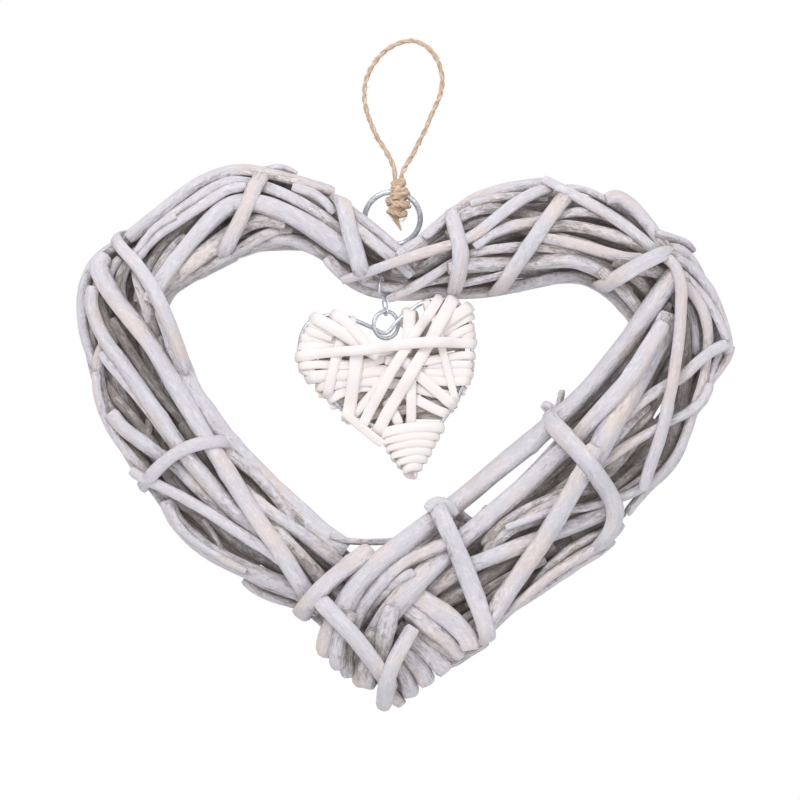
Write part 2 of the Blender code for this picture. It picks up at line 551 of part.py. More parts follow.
def frames_along(points, closed):
    """Unit directions across a line at each point, carried along it without twisting."""
    count = len(points)
    if closed:
        ways = np.roll(points, -1, axis=0) - np.roll(points, 1, axis=0)
    else:
        ways = np.gradient(points, axis=0)
        legs = np.diff(points, axis=0)
        legs /= np.linalg.norm(legs, axis=1)[:, None]
        ways[1:-1] = legs[:-1] + legs[1:]
    ways /= np.linalg.norm(ways, axis=1)[:, None]
    guess = Vector((0.0, -1.0, 0.0))
    if abs(ways[0][1]) > 0.9:
        guess = Vector((0.0, 0.0, 1.0))
    frames = []
    for index in range(count):
        way = Vector(ways[index])
        guess = (guess - guess.dot(way) * way).normalized()
        frames.append((guess.copy(), way.cross(guess).normalized()))
    return frames


def frames_facing(points, facing):
    """Unit directions across a line at each point, the first as near as it can be to the given one."""
    legs = np.diff(points, axis=0)
    legs /= np.linalg.norm(legs, axis=1)[:, None]
    ways = np.vstack([legs[:1], legs[:-1] + legs[1:], legs[-1:]])
    frames = []
    for way, wanted in zip(ways, facing):
        along = Vector(way).normalized()
        out = (Vector(wanted) - Vector(wanted).dot(along) * along).normalized()
        frames.append((out, along.cross(out).normalized()))
    return frames


def sweep(name, points, section, scales=None, closed=False, facing=None):
    """A closed tube with the given section, swept along a line of points."""
    points = np.array(points, float)
    frames = frames_along(points, closed) if facing is None else frames_facing(points, facing)
    if scales is None:
        scales = np.ones(len(points))
    mesh = bmesh.new()
    rings = []
    for point, frame, scale in zip(points, frames, scales):
        ring = [mesh.verts.new(Vector(point) + (frame[0] * a + frame[1] * b) * float(scale)) for a, b in section]
        rings.append(ring)
    pairs = list(zip(rings, rings[1:]))
    if closed:
        pairs.append((rings[-1], rings[0]))
    sides = len(section)
    for ring, following in pairs:
        for index in range(sides):
            after = (index + 1) % sides
            mesh.faces.new((ring[index], following[index], following[after], ring[after]))
    if not closed:
        mesh.faces.new(rings[0])
        mesh.faces.new(rings[-1][::-1])
    bmesh.ops.recalc_face_normals(mesh, faces=mesh.faces)
    return mesh_object(name, mesh)


def mesh_object(name, mesh):
    """Puts a finished mesh into the scene, shaded smooth with sharp cut ends."""
    data = bpy.data.meshes.new(name)
    mesh.to_mesh(data)
    mesh.free()
    data.shade_smooth()
    data.set_sharp_from_angle(angle=math.radians(62))
    made = bpy.data.objects.new(name, data)
    bpy.context.scene.collection.objects.link(made)
    return made


def round_shape(radius, sides):
    """A round section."""
    return [(radius * math.cos(2 * math.pi * index / sides), radius * math.sin(2 * math.pi * index / sides))
            for index in range(sides)]


def flat_shape(width, thickness):
    """A flat strip's section. Its first direction is the thin one."""
    half = width / 2
    rise = thickness / 2
    return [(rise, -half), (rise, half), (-rise, half), (-rise, -half)]


def add_rods():
    """All the willow rods and bindings."""
    bundle = Bundle(left_rods() + right_rods() + bindings())
    bundle.add_fixed_ring(hanging_ring_points(), RING_WIRE)
    bundle.add_fixed_ring(link_loop(), LINK_WIRE)
    bundle.add_fixed_ring(heart_wire(), layer_height(0) + STRIP_THICKNESS)
    bundle.settle()
    for name, points, radii in bundle.rods():
        made = sweep(name, points, round_shape(1.0, ROD_SIDES), radii)
        shade = WILLOW_SHADE if "back" in name or "core" in name else WILLOW
        made.data.materials.append(material(name, shade))


def hanging_ring_points():
    """The middle line of the large ring."""
    return circle(RING_PLACE, RING_RADIUS, "X", RING_TILT, RING_SEGMENTS)


def add_wire_rings():
    """The large ring, the small heart's ring and the wire link between it and the wreath."""
    ring = sweep("hanging_ring", hanging_ring_points(), round_shape(RING_WIRE, WIRE_SIDES), closed=True)
    ring.data.materials.append(material("hanging_ring", ZINC, 1.0))
    line = circle(HEART_RING_PLACE, HEART_RING_RADIUS, "Z", HEART_RING_TURN, 20)
    small = sweep("small_heart_ring", line, round_shape(HEART_RING_WIRE, WIRE_SIDES), closed=True)
    small.data.materials.append(material("small_heart_ring", ZINC, 1.0))
    link = sweep("wire_link", link_loop(), round_shape(LINK_WIRE, WIRE_SIDES), closed=True)
    link.data.materials.append(material("wire_link", ZINC, 1.0))


def ring_front():
    """How far the large ring's top leans to the front."""
    return -RING_RADIUS * math.sin(RING_TILT)


def add_twine():
    """The twine loop, which leans with its knot, as a curve."""
    height = -KNOT_TOP - CLEARANCE
    line, run = smooth_line([(aside * height, ring_front() * down, -down * height) for aside, down in TWINE_ROUTE])
    points = resample(line, run, 1 + round(run[-1] / (TWINE_STEP * 2 * TWINE_RADIUS)))
    data = bpy.data.curves.new("twine_loop", "CURVE")
    data.dimensions = "3D"
    data.bevel_depth = TWINE_RADIUS
    data.bevel_resolution = 2
    data.use_fill_caps = True
    spline = data.splines.new("POLY")
    spline.points.add(len(points) - 1)
    for point, place in zip(spline.points, points):
        point.co = (*place, 1.0)
    made = bpy.data.objects.new("twine_loop", data)
    bpy.context.scene.collection.objects.link(made)
    data.materials.append(material("twine_loop", JUTE))


def add_knot():
    """The knot that closes the loop round the large ring, with the twine's loose end below it."""
    low = KNOT_TOP - KNOT_HEIGHT
    rows = [(KNOT_TOP - share * KNOT_HEIGHT, scale) for share, scale in KNOT_SHAPE]
    rows += [(low - share * KNOT_TAIL, scale) for share, scale in KNOT_TAIL_SHAPE]
    points = [(KNOT_PLACE, ring_front(), height) for height, _ in rows]
    knot = sweep("twine_knot", points, round_shape(KNOT_RADIUS, KNOT_SIDES), [scale for _, scale in rows])
    knot.data.materials.append(material("twine_knot", JUTE))
    room = round_shape(RING_WIRE + CLEARANCE, WIRE_SIDES)
    cutter = sweep("knot_ring_cutter", hanging_ring_points(), room, closed=True)
    cutter.hide_render = True
    cutter.display_type = "WIRE"
    cut = knot.modifiers.new("ring_passes", "BOOLEAN")
    cut.operation = "DIFFERENCE"
    cut.solver = "EXACT"
    cut.object = cutter


def on_heart(share):
    """A point in the small heart's plane, from its shares. The heart hangs in its ring."""
    ring_x, ring_y, ring_z = HEART_RING_PLACE
    cleft = ring_z - HEART_RING_RADIUS + HEART_RING_WIRE + HEART_WIRE + 1.5 * CLEARANCE
    return np.array((ring_x + share[0] * HEART_WIDTH, ring_y, cleft - share[1] * HEART_HEIGHT))


def heart_wire():
    """The middle line of the small heart's wire, all the way round."""
    line, run = smooth_line([on_heart(share) for share in HEART_LINE_SHARES + HEART_LINE_SHARES[:1]])
    return resample(line, run, HEART_WIRE_POINTS + 1)[:-1]


def nearest_on_wire(wire, place):
    """The wire's point that is nearest to a place, and the direction out of the heart there."""
    starts = wire
    ways = np.roll(wire, -1, axis=0) - wire
    shares = np.clip(((place - starts) * ways).sum(axis=1) / (ways * ways).sum(axis=1), 0.0, 1.0)
    spots = starts + ways * shares[:, None]
    best = int(np.argmin(np.linalg.norm(spots - place, axis=1)))
    out = np.array((ways[best][2], 0.0, -ways[best][0]))
    out /= np.linalg.norm(out)
    if out @ (spots[best] - wire.mean(axis=0)) < 0:
        out = -out
    return spots[best], out


def layer_height(layer):
    """How far from the small heart's plane a strip's layer lies."""
    return HEART_WIRE + STRIP_THICKNESS / 2 + 2 * CLEARANCE + layer * (STRIP_THICKNESS + CLEARANCE)


def turn_round_wire(spot, out, coming, going, front, back, to_back):
    """A strip's points and outward directions where it turns round the wire."""
    lean = coming - going
    lean /= np.linalg.norm(lean)
    lean = lean / max(lean @ out, 0.6)
    rows = []
    for angle in (-90, -45, 0, 45, 90):
        turn = math.radians(angle)
        height = (back if angle > 0 else front) * math.sin(turn)
        place = spot + lean * layer_height(0) * math.cos(turn) + np.array((0.0, height, 0.0))
        rows.append((place, out * math.cos(turn) + np.array((0.0, math.sin(turn), 0.0))))
    return rows if to_back else rows[::-1]


def unit(vector):
    """The same direction, with a length of one."""
    return vector / np.linalg.norm(vector)


def wind_strip(name, runs, back_layer, dips):
    """A strip wound round the small heart's wire, over the front and back behind, run after run."""
    wire = heart_wire()
    back = layer_height(back_layer)
    stops = []
    for index, (layer, *route) in enumerate(runs):
        places = [on_heart(share) for share in route]
        front = layer_height(layer)
        passed = [(place + np.array((0.0, -front, 0.0)), (0.0, -1.0, 0.0)) for place in places[1:-1]]
        dip = []
        if index < len(dips):
            dip = [(on_heart((0.0, dips[index])) + np.array((0.0, back, 0.0)), (0.0, 1.0, 0.0))]
        stops.append((*nearest_on_wire(wire, places[0]), front, passed, False))
        stops.append((*nearest_on_wire(wire, places[-1]), front, dip, True))
    flat = np.array((1.0, 0.0, 1.0))
    rows = []
    for index, (spot, out, front, after, to_back) in enumerate(stops):
        before = stops[index - 1][3] if index else []
        last_place = before[-1][0] if before else stops[max(index - 1, 0)][0]
        next_place = after[0][0] if after else stops[min(index + 1, len(stops) - 1)][0]
        coming = unit((spot - last_place) * flat) if index else None
        going = unit((next_place - spot) * flat) if index + 1 < len(stops) else None
        coming = -going if coming is None else coming
        going = -coming if going is None else going
        if index == 0:
            rows.append((spot + going * STRIP_TUCK + np.array((0.0, back, 0.0)), (0.0, 1.0, 0.0)))
        rows += turn_round_wire(spot, out, coming, going, front, back, to_back)
        rows += after
        if index + 1 == len(stops):
            rows.append((spot + going * STRIP_TUCK + np.array((0.0, back, 0.0)), (0.0, 1.0, 0.0)))
    made = sweep(name, [place for place, _ in rows], flat_shape(STRIP_WIDTH, STRIP_THICKNESS),
                 facing=[facing for _, facing in rows])
    made.data.materials.append(material(name, CREAM))


def add_coil():
    """The strip that is coiled round the small heart's point."""
    top = on_heart(COIL_TOP)
    end = on_heart(COIL_END)
    count = COIL_TURNS * COIL_TURN_POINTS + 1
    points = []
    facing = []
    for index in range(count):
        share = index / (count - 1)
        angle = COIL_START - 2 * math.pi * index / COIL_TURN_POINTS
        swell = 1 - share ** COIL_FULLNESS
        half_width = COIL_END_HALF_WIDTH + (COIL_TOP_HALF_WIDTH - COIL_END_HALF_WIDTH) * swell
        half_depth = COIL_END_HALF_DEPTH + (COIL_TOP_HALF_DEPTH - COIL_END_HALF_DEPTH) * swell
        middle = top + (end - top) * share
        points.append(middle + np.array((half_width * math.cos(angle), -half_depth * math.sin(angle), 0.0)))
        facing.append((math.cos(angle) / half_width, -math.sin(angle) / half_depth, 0.0))
    made = sweep("heart_tip_coil", points, flat_shape(COIL_STRIP_HEIGHT, STRIP_THICKNESS), facing=facing)
    made.data.materials.append(material("heart_tip_coil", CREAM))


def add_small_heart():
    """The small woven heart: its wire, the strips wound over it and the coil at its point."""
    frame = sweep("heart_frame", heart_wire(), round_shape(HEART_WIRE, WIRE_SIDES), closed=True)
    frame.data.materials.append(material("heart_frame", CREAM))
    wind_strip("heart_wrap_across", ACROSS_RUNS, ACROSS_BACK_LAYER, ACROSS_BACK_DIPS)
    wind_strip("heart_wrap_slant", SLANT_RUNS, SLANT_BACK_LAYER, ())
    wind_strip("heart_wrap_down", DOWN_RUNS, DOWN_BACK_LAYER, ())
    add_coil()


def main():
    """Builds the whole wreath."""
    clear_scene()
    add_rods()
    add_wire_rings()
    add_twine()
    add_knot()
    add_small_heart()


main()
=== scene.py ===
"""Looks of the wicker heart wreath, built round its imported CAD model. Metres, +Z up, the front faces -Y."""
import math
from dataclasses import dataclass

import bpy
import numpy as np
from mathutils import Matrix, Vector
from mathutils.bvhtree import BVHTree


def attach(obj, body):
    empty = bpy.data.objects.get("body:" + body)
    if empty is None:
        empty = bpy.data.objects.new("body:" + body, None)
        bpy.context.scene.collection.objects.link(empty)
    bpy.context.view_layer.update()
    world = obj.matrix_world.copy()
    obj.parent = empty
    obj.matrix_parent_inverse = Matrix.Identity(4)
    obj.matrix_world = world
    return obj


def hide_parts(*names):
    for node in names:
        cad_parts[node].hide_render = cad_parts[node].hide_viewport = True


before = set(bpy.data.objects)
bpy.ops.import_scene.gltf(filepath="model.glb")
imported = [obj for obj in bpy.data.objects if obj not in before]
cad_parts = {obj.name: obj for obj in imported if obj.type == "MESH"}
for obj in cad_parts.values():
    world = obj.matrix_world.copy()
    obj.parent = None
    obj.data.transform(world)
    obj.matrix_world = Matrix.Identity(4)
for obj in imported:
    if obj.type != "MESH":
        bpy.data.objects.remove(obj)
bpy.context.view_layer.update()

# The photograph's scale, and the pixel that the origin is at
PIXEL = 0.0004
ORIGIN_PIXEL = (408, 41)

# Camera
LENS = 200
SENSOR = 36
VIEW_MIDDLE = (-0.0032, -0.1436)
VIEW_WIDTH = 0.32
VIEW_DISTANCE = VIEW_WIDTH * LENS / SENSOR
FLOOR_HEIGHT = -0.50
FLOOR_HALF_WIDTH = 0.60
WORLD_LIGHT = 0.68           # the white surroundings as the object sees them
LIGHT_AIM = (0.0, 0.0, -0.15)
LIGHTS = (("key", (-0.45, -0.95, 0.75), 0.50, 8.0),
          ("fill", (0.80, -0.90, 0.05), 0.80, 2.0))      # place, size and power

# Rods
ROD_SIDES = 22
ROD_STEP = 0.0018
ROD_THICKNESS = 0.74         # as a share of the width
BINDING_THICKNESS = 0.52
BACK_ROD_THICKNESS = 0.95
WIDTH_WANDER = 0.05          # how much a rod's width varies along it
THICKNESS_WANDER = 0.08
ROD_FACETS = 6
FACET_SHARPNESS = 9
FACET_SHIFT = 0.28           # how far a facet may lie from its even place round the rod
FACETS_TURN = 0.35           # how far all facets turn along the rod, in radians
FACET_TURN = 0.16            # how far each turns on its own
FACET_REACH = (0.87, 1.0)
FACET_WANDER = 0.04
SECTION_SCALE = 0.965        # brings the section's mean width back to the rod's width
RIDGES = (5, 8, 11)          # waves round the rod
RIDGE_HEIGHT = 0.012
NODE_SPACING = (0.030, 0.070)
NODE_LENGTH = 0.0022         # a twig's place swells this far to each side, all round and more on one side
NODE_SWELLING = 0.035
KNOB_SWELLING = 0.085
KNOB_SHARPNESS = 2.2
END_LENGTH = 0.0009          # a cut end narrows over this length, by this share
END_NARROWING = 0.22

# How rods lie on each other
SINKING = 0.80               # how much of their thicknesses two crossing rods keep
ARCH = 0.7                   # how steeply their contact falls off from their middles
BUNDLE_MARGIN = 1.06         # how far the bundle's rounding reaches past its measured half width
LEAST_FULLNESS = 0.04
FRONT_LIMIT = 0.0300
BACK_LIMIT = 0.0205
BINDING_ROOM = 0.0030        # how far a binding may lie beyond these limits
ROD_ROUNDS = 110             # how often a line is evened out as it settles
BINDING_ROUNDS = 40
BACK_STRIP_ROUNDS = 20
STRIP_ROUNDS = 14
ROD_LEAN = 0.35              # how far a rod's flat side leans outward
BINDING_LEAN = 0.65
CORE_LEAN = 0.2
BACK_ROD_LEAN = 0.5

# Rods that the photograph doesn't show. Places along the wreath are in hundredths of a side, widths in pixels
SHADED = ("left_back_rod_1", "left_back_rod_2", "right_back_rod_1", "right_back_rod_2")
# A darker tone for the back rods' solids: painted shade, and partly less whitewash deep in the bundle
SHADED_TONE = -0.25
BACK_RODS = 13
BACK_SPREAD = 62             # how far along each side they start, on four places in turn
BACK_SHIFT = 4
BACK_LENGTHS = (28, 46)
BACK_ANGLES = (100, 260)     # degrees round the bundle from its front
BACK_TURN = 34               # how far they wander round it
BACK_EDGES = (108, 252)
BACK_WIDTHS = (11, 19)
BACK_LIFT = -0.6
BACK_TONE = -0.05
CORE_PLACES = (-0.75, -0.45, -0.15, 0.15, 0.45, 0.75)
CORE_DRIFT = 0.10
CORE_DRIFTS = 7
CORE_DEPTHS = (-0.0035, 0.0050)
CORE_WIDTHS = (13, 17)
# A darker tone for the core rods: painted shade, and partly less whitewash deep in the bundle
CORE_TONE = -0.16
OPENING_ROOM = 0.9           # the share of its half width that a rod stays clear of openings
SHORTEST_PART = 12           # points that a rod cut off at an opening needs to stay

# Bindings
BINDING_DEPTH = 0.80         # as a share of the bundle's half depth
BINDING_SLIP = 9             # how far a binding moves on along the wreath behind it, in hundredths of a side
BINDING_LIFT = -0.3
SLIP_BEFORE = 0.3            # the share of that slip on the side where it begins
TURN_BEFORE = 70             # degrees that it begins round the edge

# Seeds: of each kind's first rod, from which the others count on, and of the draws that lay the rods out
SEEDS = {"solid": 100, "front": 200, "binding": 400, "behind": 500, "core": 700, "heart_back": 800,
         "strip": 850, "coil": 900}
LAYOUT_SEEDS = {"behind": 11, "core": 5, "sky": 7, "strips": 21, "twine": 31}

# How much of the sky the corners of rods don't see, which darkens them: painted shade, partly real thinner
# whitewash
SKY_RAYS = 12
SKY_REACH = 0.030
SKY_FADE = 0.045             # at this distance a rod would shade nothing
SKY_START = 0.0004
SKY_EVERY = (3, 2)           # it is measured at every third ring and every second corner
# The loss of paint where the sky is hidden is painted shade, and partly real thinner whitewash
ROD_PAINT_AND_SHADE = (1.06, 0.90)     # paint in full light, and how much less there is in full shade
STRIP_PAINT_AND_SHADE = (1.20, 0.62)

# Openings that the light shows through, as pixels across and down
OPENINGS = (((552, 432), (556, 450), (526, 482), (504, 506), (486, 525), (458, 514), (474, 494), (500, 474),
             (522, 456)),
            ((158, 318), (166, 318), (196, 372), (192, 384), (182, 376)))

# The wreath's bundles, as in the part's source
WREATH_WIDTH = 0.261
WREATH_HEIGHT = 0.219
WREATH_DROP = 0.050
WREATH_SHIFT = -0.0008
BUNDLE_HALF_DEPTH = 0.0145
BUNDLE_HALF_WIDTH = 0.0200
LAYER = 0.0060
LEFT_LINE = ((-0.012, 0.188), (-0.086, 0.137), (-0.162, 0.086), (-0.239, 0.079), (-0.315, 0.110),
             (-0.392, 0.170), (-0.435, 0.265), (-0.426, 0.375), (-0.384, 0.484), (-0.319, 0.590),
             (-0.247, 0.676), (-0.162, 0.759), (-0.093, 0.828), (-0.032, 0.901))
RIGHT_LINE = ((-0.012, 0.188), (0.052, 0.166), (0.113, 0.143), (0.205, 0.121), (0.297, 0.137),
              (0.374, 0.197), (0.413, 0.302), (0.381, 0.415), (0.315, 0.506), (0.239, 0.598),
              (0.162, 0.686), (0.075, 0.777), (0.014, 0.850), (-0.032, 0.901))
OUTWARD = ((-100, 0.5), (-87, 0.475), (-80, 0.625), (-70, 0.9), (-50, 0.85), (-40, 0.875),
           (-30, 0.775), (-20, 0.8), (-10, 0.55), (0, 0.4), (10, 0.8), (18, 0.95),
           (28, 0.85), (35, 0.75), (42, 1.0), (50, 0.95), (60, 1.225), (80, 1.125),
           (90, 0.9), (100, 0.6))
INWARD = ((-100, 1.25), (-80, 1.1), (-65, 1.2), (-45, 1.0), (-39, 0.825), (-30, 0.975),
          (-20, 0.9), (-10, 0.5), (0, 0.6), (7, 0.9), (18, 0.975), (30, 0.75),
          (38, 0.7), (48, 1.05), (60, 1.2), (75, 1.375), (90, 1.4), (100, 1.35))

# Rods seen from the front, from the deepest to the topmost: the name, the solid it stands for, the widths at
# its two ends in pixels, how near the bundle's front it lies, how much more whitewash it has than others,
# which on rods that lie in shade is painted shade as well, and its route in the photograph as pixels across
# and down
FRONT_RODS = (
    ("lobe_inner_edge", "left_lobe_inner_rod", 14, 13, 0.5, -0.22,
     ((160, 297), (179, 283), (199, 271), (219, 259), (239, 249), (260, 242), (282, 238), (300, 242),
      (317, 250), (334, 261), (350, 272))),
    ("lobe_inner_second", "", 13, 12, 0.6, -0.12,
     ((156, 296), (178, 281), (200, 269), (222, 258), (242, 247), (260, 237), (276, 230), (292, 229))),
    ("lobe_core", "left_lobe_core_rod", 22, 18, 0.7, -0.10,
     ((152, 298), (168, 281), (186, 266), (206, 251), (226, 237), (246, 224), (266, 219), (286, 222))),
    ("lobe_shade_long", "", 12, 10, 0.6, -0.22,
     ((196, 218), (182, 229), (168, 240), (156, 254), (148, 269), (141, 286), (137, 302))),
    ("lobe_shade_short", "", 10, 11, 0.6, -0.15,
     ((186, 236), (173, 248), (163, 262), (154, 278), (146, 296))),
    ("shoulder_shade_a", "", 13, 12, 0.6, -0.05,
     ((128, 262), (122, 276), (120, 291), (124, 308), (131, 324))),
    ("shoulder_shade_b", "", 12, 18, 0.6, -0.12,
     ((136, 268), (140, 286), (146, 303), (151, 320), (158, 338), (168, 356))),
    ("shoulder_shade_c", "", 10, 10, 0.5, -0.25,
     ((148, 278), (152, 298), (160, 316), (169, 336), (180, 358))),
    ("shoulder_sliver", "", 9, 8, 0.7, 0.0,
     ((120, 258), (112, 268), (108, 280), (112, 292), (120, 302))),
    ("lobe_top_sliver", "", 10, 7, 0.5, -0.10,
     ((256, 173), (270, 169), (283, 168), (297, 174))),
    ("outer_top", "left_outer_rod", 13, 17, 0.45, -0.08,
     ((334, 192), (318, 187), (300, 182), (282, 177), (264, 173), (242, 170), (220, 174), (198, 184),
      (177, 199), (158, 214), (142, 227), (128, 239))),
    ("upper_second", "left_upper_rod", 13, 12, 0.8, -0.02,
     ((348, 237), (334, 226), (317, 213), (299, 202), (281, 193), (265, 187), (248, 183), (230, 182),
      (212, 189), (194, 201), (176, 214), (160, 227), (146, 241), (138, 253))),
    ("upper_wedge", "", 10, 9, 0.7, 0.02,
     ((292, 187), (308, 192), (322, 200), (334, 213))),
    ("crown", "left_crown_rod", 11, 10, 1.0, 0.03,
     ((246, 187), (229, 190), (213, 199), (196, 210), (178, 222), (160, 234), (147, 246), (139, 258))),
    ("crown_thin", "", 8, 6, 0.8, 0.0,
     ((176, 216), (163, 222), (152, 231), (143, 243), (134, 254))),
    ("front_long", "left_front_rod", 21, 16, 1.0, 0.08,
     ((358, 260), (341, 247), (320, 232), (299, 219), (278, 209), (259, 203), (242, 202), (226, 207),
      (211, 219), (196, 235), (181, 253), (168, 270), (157, 286), (148, 302))),
    # left side
    ("side_outer_edge", "", 13, 12, 0.1, -0.05,
     ((122, 243), (107, 251), (94, 263), (86, 279), (82, 297), (82, 317), (85, 337), (91, 355), (96, 366))),
    ("side_outer_fill", "", 11, 11, 0.0, -0.22,
     ((100, 278), (98, 294), (101, 310), (108, 328), (116, 344))),
    ("side_hidden_a", "", 11, 11, 0.4, -0.30,
     ((112, 318), (124, 340), (138, 362), (153, 384), (168, 404), (184, 422), (198, 436))),
    ("side_hidden_b", "", 10, 10, 0.2, -0.35,
     ((104, 380), (118, 400), (134, 418), (148, 436), (158, 450))),
    ("side_hole_rod", "", 9, 8, 0.3, -0.12,
     ((152, 408), (150, 420), (148, 434), (146, 450))),
    ("side_band_fill", "", 13, 13, 0.1, -0.24,
     ((182, 422), (193, 438), (204, 453), (215, 469), (227, 485))),
    ("side_pink_face", "", 13, 12, 0.9, 0.0,
     ((157, 338), (170, 362), (184, 388), (197, 410), (206, 432))),
    ("side_inner", "left_side_inner_rod", 15, 22, 0.75, 0.06,
     ((160, 308), (168, 330), (175, 350), (183, 367), (189, 382), (196, 396), (206, 410), (217, 426),
      (228, 441), (241, 456), (256, 472), (271, 488), (288, 504), (306, 520), (326, 536), (346, 550))),
    ("side_inner_back", "left_side_back_inner_rod", 13, 12, 0.45, -0.20,
     ((210, 438), (226, 451), (242, 464), (257, 476), (270, 490), (282, 506), (293, 522))),
    ("side_outer", "left_side_outer_rod", 13, 15, 0.45, -0.10,
     ((103, 344), (98, 360), (98, 378), (101, 396), (109, 414), (119, 432), (132, 451), (148, 471))),
    ("side_outer_second", "", 10, 11, 0.25, -0.14,
     ((96, 372), (97, 392), (103, 412), (112, 430), (124, 448), (138, 464), (152, 478))),
    ("side_broad", "", 18, 13, 0.75, 0.06,
     ((110, 412), (122, 427), (139, 440), (158, 454), (176, 466), (192, 482), (208, 498), (226, 513),
      (240, 524))),
    ("side_short", "left_side_short_rod", 11, 12, 0.85, 0.03,
     ((102, 352), (111, 365), (124, 380), (138, 397), (153, 416), (168, 436), (180, 452))),
    ("side_front", "left_side_front_rod", 15, 18, 1.0, 0.08,
     ((93, 286), (91, 303), (97, 325), (108, 345), (121, 362), (135, 381), (149, 401), (163, 421), (176, 440),
      (187, 456), (201, 473), (217, 492), (235, 511), (255, 528), (273, 542), (286, 552))),
    ("lower_pink_core", "", 14, 14, 0.6, -0.15,
     ((270, 522), (286, 540), (301, 556), (316, 573), (328, 590))),
    ("lower_inner_second", "", 14, 13, 0.85, 0.02,
     ((240, 487), (258, 503), (280, 519), (302, 534), (322, 550), (342, 564))),
    ("lower_grey_thin", "", 10, 9, 0.4, -0.20,
     ((158, 486), (178, 502), (197, 515), (210, 530), (221, 548), (232, 560))),
    ("lower_hole_strip", "", 6, 5, 0.4, -0.08,
     ((203, 519), (209, 528), (215, 538), (222, 550))),
    ("lower_last", "", 12, 10, 0.15, -0.12,
     ((244, 579), (256, 589), (272, 597), (290, 603), (308, 608))),
    ("lower_last_thin", "", 7, 6, 0.4, -0.18,
     ((248, 578), (264, 586), (282, 593), (300, 599))),
    ("lower_outer", "left_lower_outer_rod", 17, 20, 0.5, 0.04,
     ((166, 500), (175, 519), (190, 536), (208, 550), (228, 561), (250, 571), (272, 580), (292, 589),
      (308, 598))),
    ("lower_outer_lip", "", 9, 9, 0.3, -0.06,
     ((168, 504), (176, 521), (188, 536), (206, 549), (226, 561), (246, 571))),
    ("side_lower_front", "", 12, 12, 1.0, 0.06,
     ((131, 470), (146, 479), (163, 487), (184, 498), (206, 511), (229, 526), (251, 540), (270, 552),
      (284, 563))),
    ("side_thick", "left_side_thick_rod", 19, 19, 1.1, 0.10,
     ((106, 256), (99, 266), (105, 283), (118, 303), (134, 322), (150, 343), (164, 365), (177, 388),
      (190, 410), (202, 431), (214, 450), (229, 473), (244, 498), (261, 524), (279, 549), (294, 573),
      (308, 595), (320, 612))),
    # cleft
    ("cleft_bottom", "cleft_bottom_rod", 13, 14, 0.9, -0.20,
     ((326, 257), (338, 270), (352, 281), (368, 289), (385, 293), (410, 294), (435, 292), (460, 293),
      (485, 291), (510, 287), (535, 282), (560, 277), (582, 278), (600, 286), (616, 298), (630, 313),
      (640, 328))),
    ("cleft_bottom_second", "", 10, 10, 1.0, -0.05,
     ((360, 279), (376, 285), (392, 288), (410, 287), (430, 281), (450, 278), (472, 279), (496, 276))),
    ("cleft_knot_rod", "", 13, 12, 0.8, -0.08,
     ((392, 270), (408, 272), (424, 268), (440, 258), (456, 250))),
    ("cleft_left_a", "", 13, 12, 1.0, 0.05,
     ((342, 206), (356, 216), (372, 228), (388, 241), (404, 255), (416, 266))),
    ("cleft_left_b", "", 13, 12, 1.1, 0.03,
     ((344, 220), (358, 231), (373, 243), (388, 255), (402, 266), (412, 276))),
    ("cleft_lower", "cleft_lower_rod", 10, 12, 1.0, 0.0,
     ((388, 299), (402, 293), (420, 283), (438, 272), (456, 261), (478, 252), (505, 248), (535, 247),
      (565, 251), (592, 259), (612, 269), (630, 282))),
    ("cleft_ring", "cleft_ring_rod", 17, 11, 0.9, 0.0,
     ((399, 259), (413, 249), (428, 238), (442, 225), (457, 212), (473, 201), (492, 193), (515, 188),
      (546, 183))),
    ("cleft_ring_second", "", 10, 9, 0.8, -0.05,
     ((424, 238), (436, 228), (448, 217), (462, 208))),
    # right lobe
    ("lobe_right_low", "", 17, 14, 0.6, -0.14,
     ((448, 268), (475, 265), (508, 264), (542, 262), (572, 261), (594, 268), (614, 280), (630, 294))),
    ("lobe_right_sliver", "", 9, 8, 0.8, -0.05,
     ((458, 285), (474, 281), (490, 278), (508, 273))),
    ("lobe_right_core_a", "", 14, 13, 0.55, -0.25,
     ((446, 236), (466, 226), (490, 221), (520, 228), (550, 236), (580, 244), (606, 254))),
    ("lobe_right_core_b", "", 11, 10, 0.6, -0.18,
     ((452, 222), (472, 212), (494, 209), (516, 212), (540, 217), (566, 220))),
    ("lobe_right_core_c", "", 9, 8, 0.6, -0.12,
     ((470, 204), (488, 199), (506, 197), (526, 196), (548, 199))),
    ("lobe_right_under", "", 12, 14, 0.6, -0.15,
     ((560, 203), (580, 204), (600, 210), (622, 222), (642, 238), (658, 254))),
    ("lobe_right_top_thin", "", 8, 8, 0.5, -0.06,
     ((566, 187), (584, 190), (602, 198), (619, 208), (636, 220), (650, 234))),
    ("lobe_right_front", "right_lobe_front_rod", 11, 11, 0.9, 0.04,
     ((474, 247), (492, 234), (514, 226), (538, 222), (560, 215), (582, 212), (604, 215), (622, 223),
      (640, 237))),
    ("lobe_right_middle", "right_lobe_middle_rod", 14, 14, 0.85, -0.10,
     ((540, 229), (562, 226), (586, 229), (610, 235), (632, 243), (652, 254))),
    ("lobe_right_bright", "", 11, 13, 1.0, 0.08,
     ((530, 236), (552, 239), (576, 244), (600, 251), (624, 258), (644, 260))),
    ("cleft_crossing", "cleft_crossing_rod", 10, 13, 1.15, 0.08,
     ((342, 281), (360, 275), (380, 268), (400, 261), (421, 254), (441, 248), (460, 242), (479, 232),
      (498, 217), (517, 203), (535, 193), (552, 188))),
    ("lobe_right_fill", "", 12, 12, -0.3, -0.28,
     ((614, 263), (626, 269), (638, 276), (650, 284))),
    ("lobe_right_long", "", 11, 13, 1.0, 0.07,
     ((543, 179), (560, 188), (580, 199), (600, 210), (620, 223), (640, 238), (655, 252))),
    ("lobe_right_outer", "", 15, 14, 0.6, -0.02,
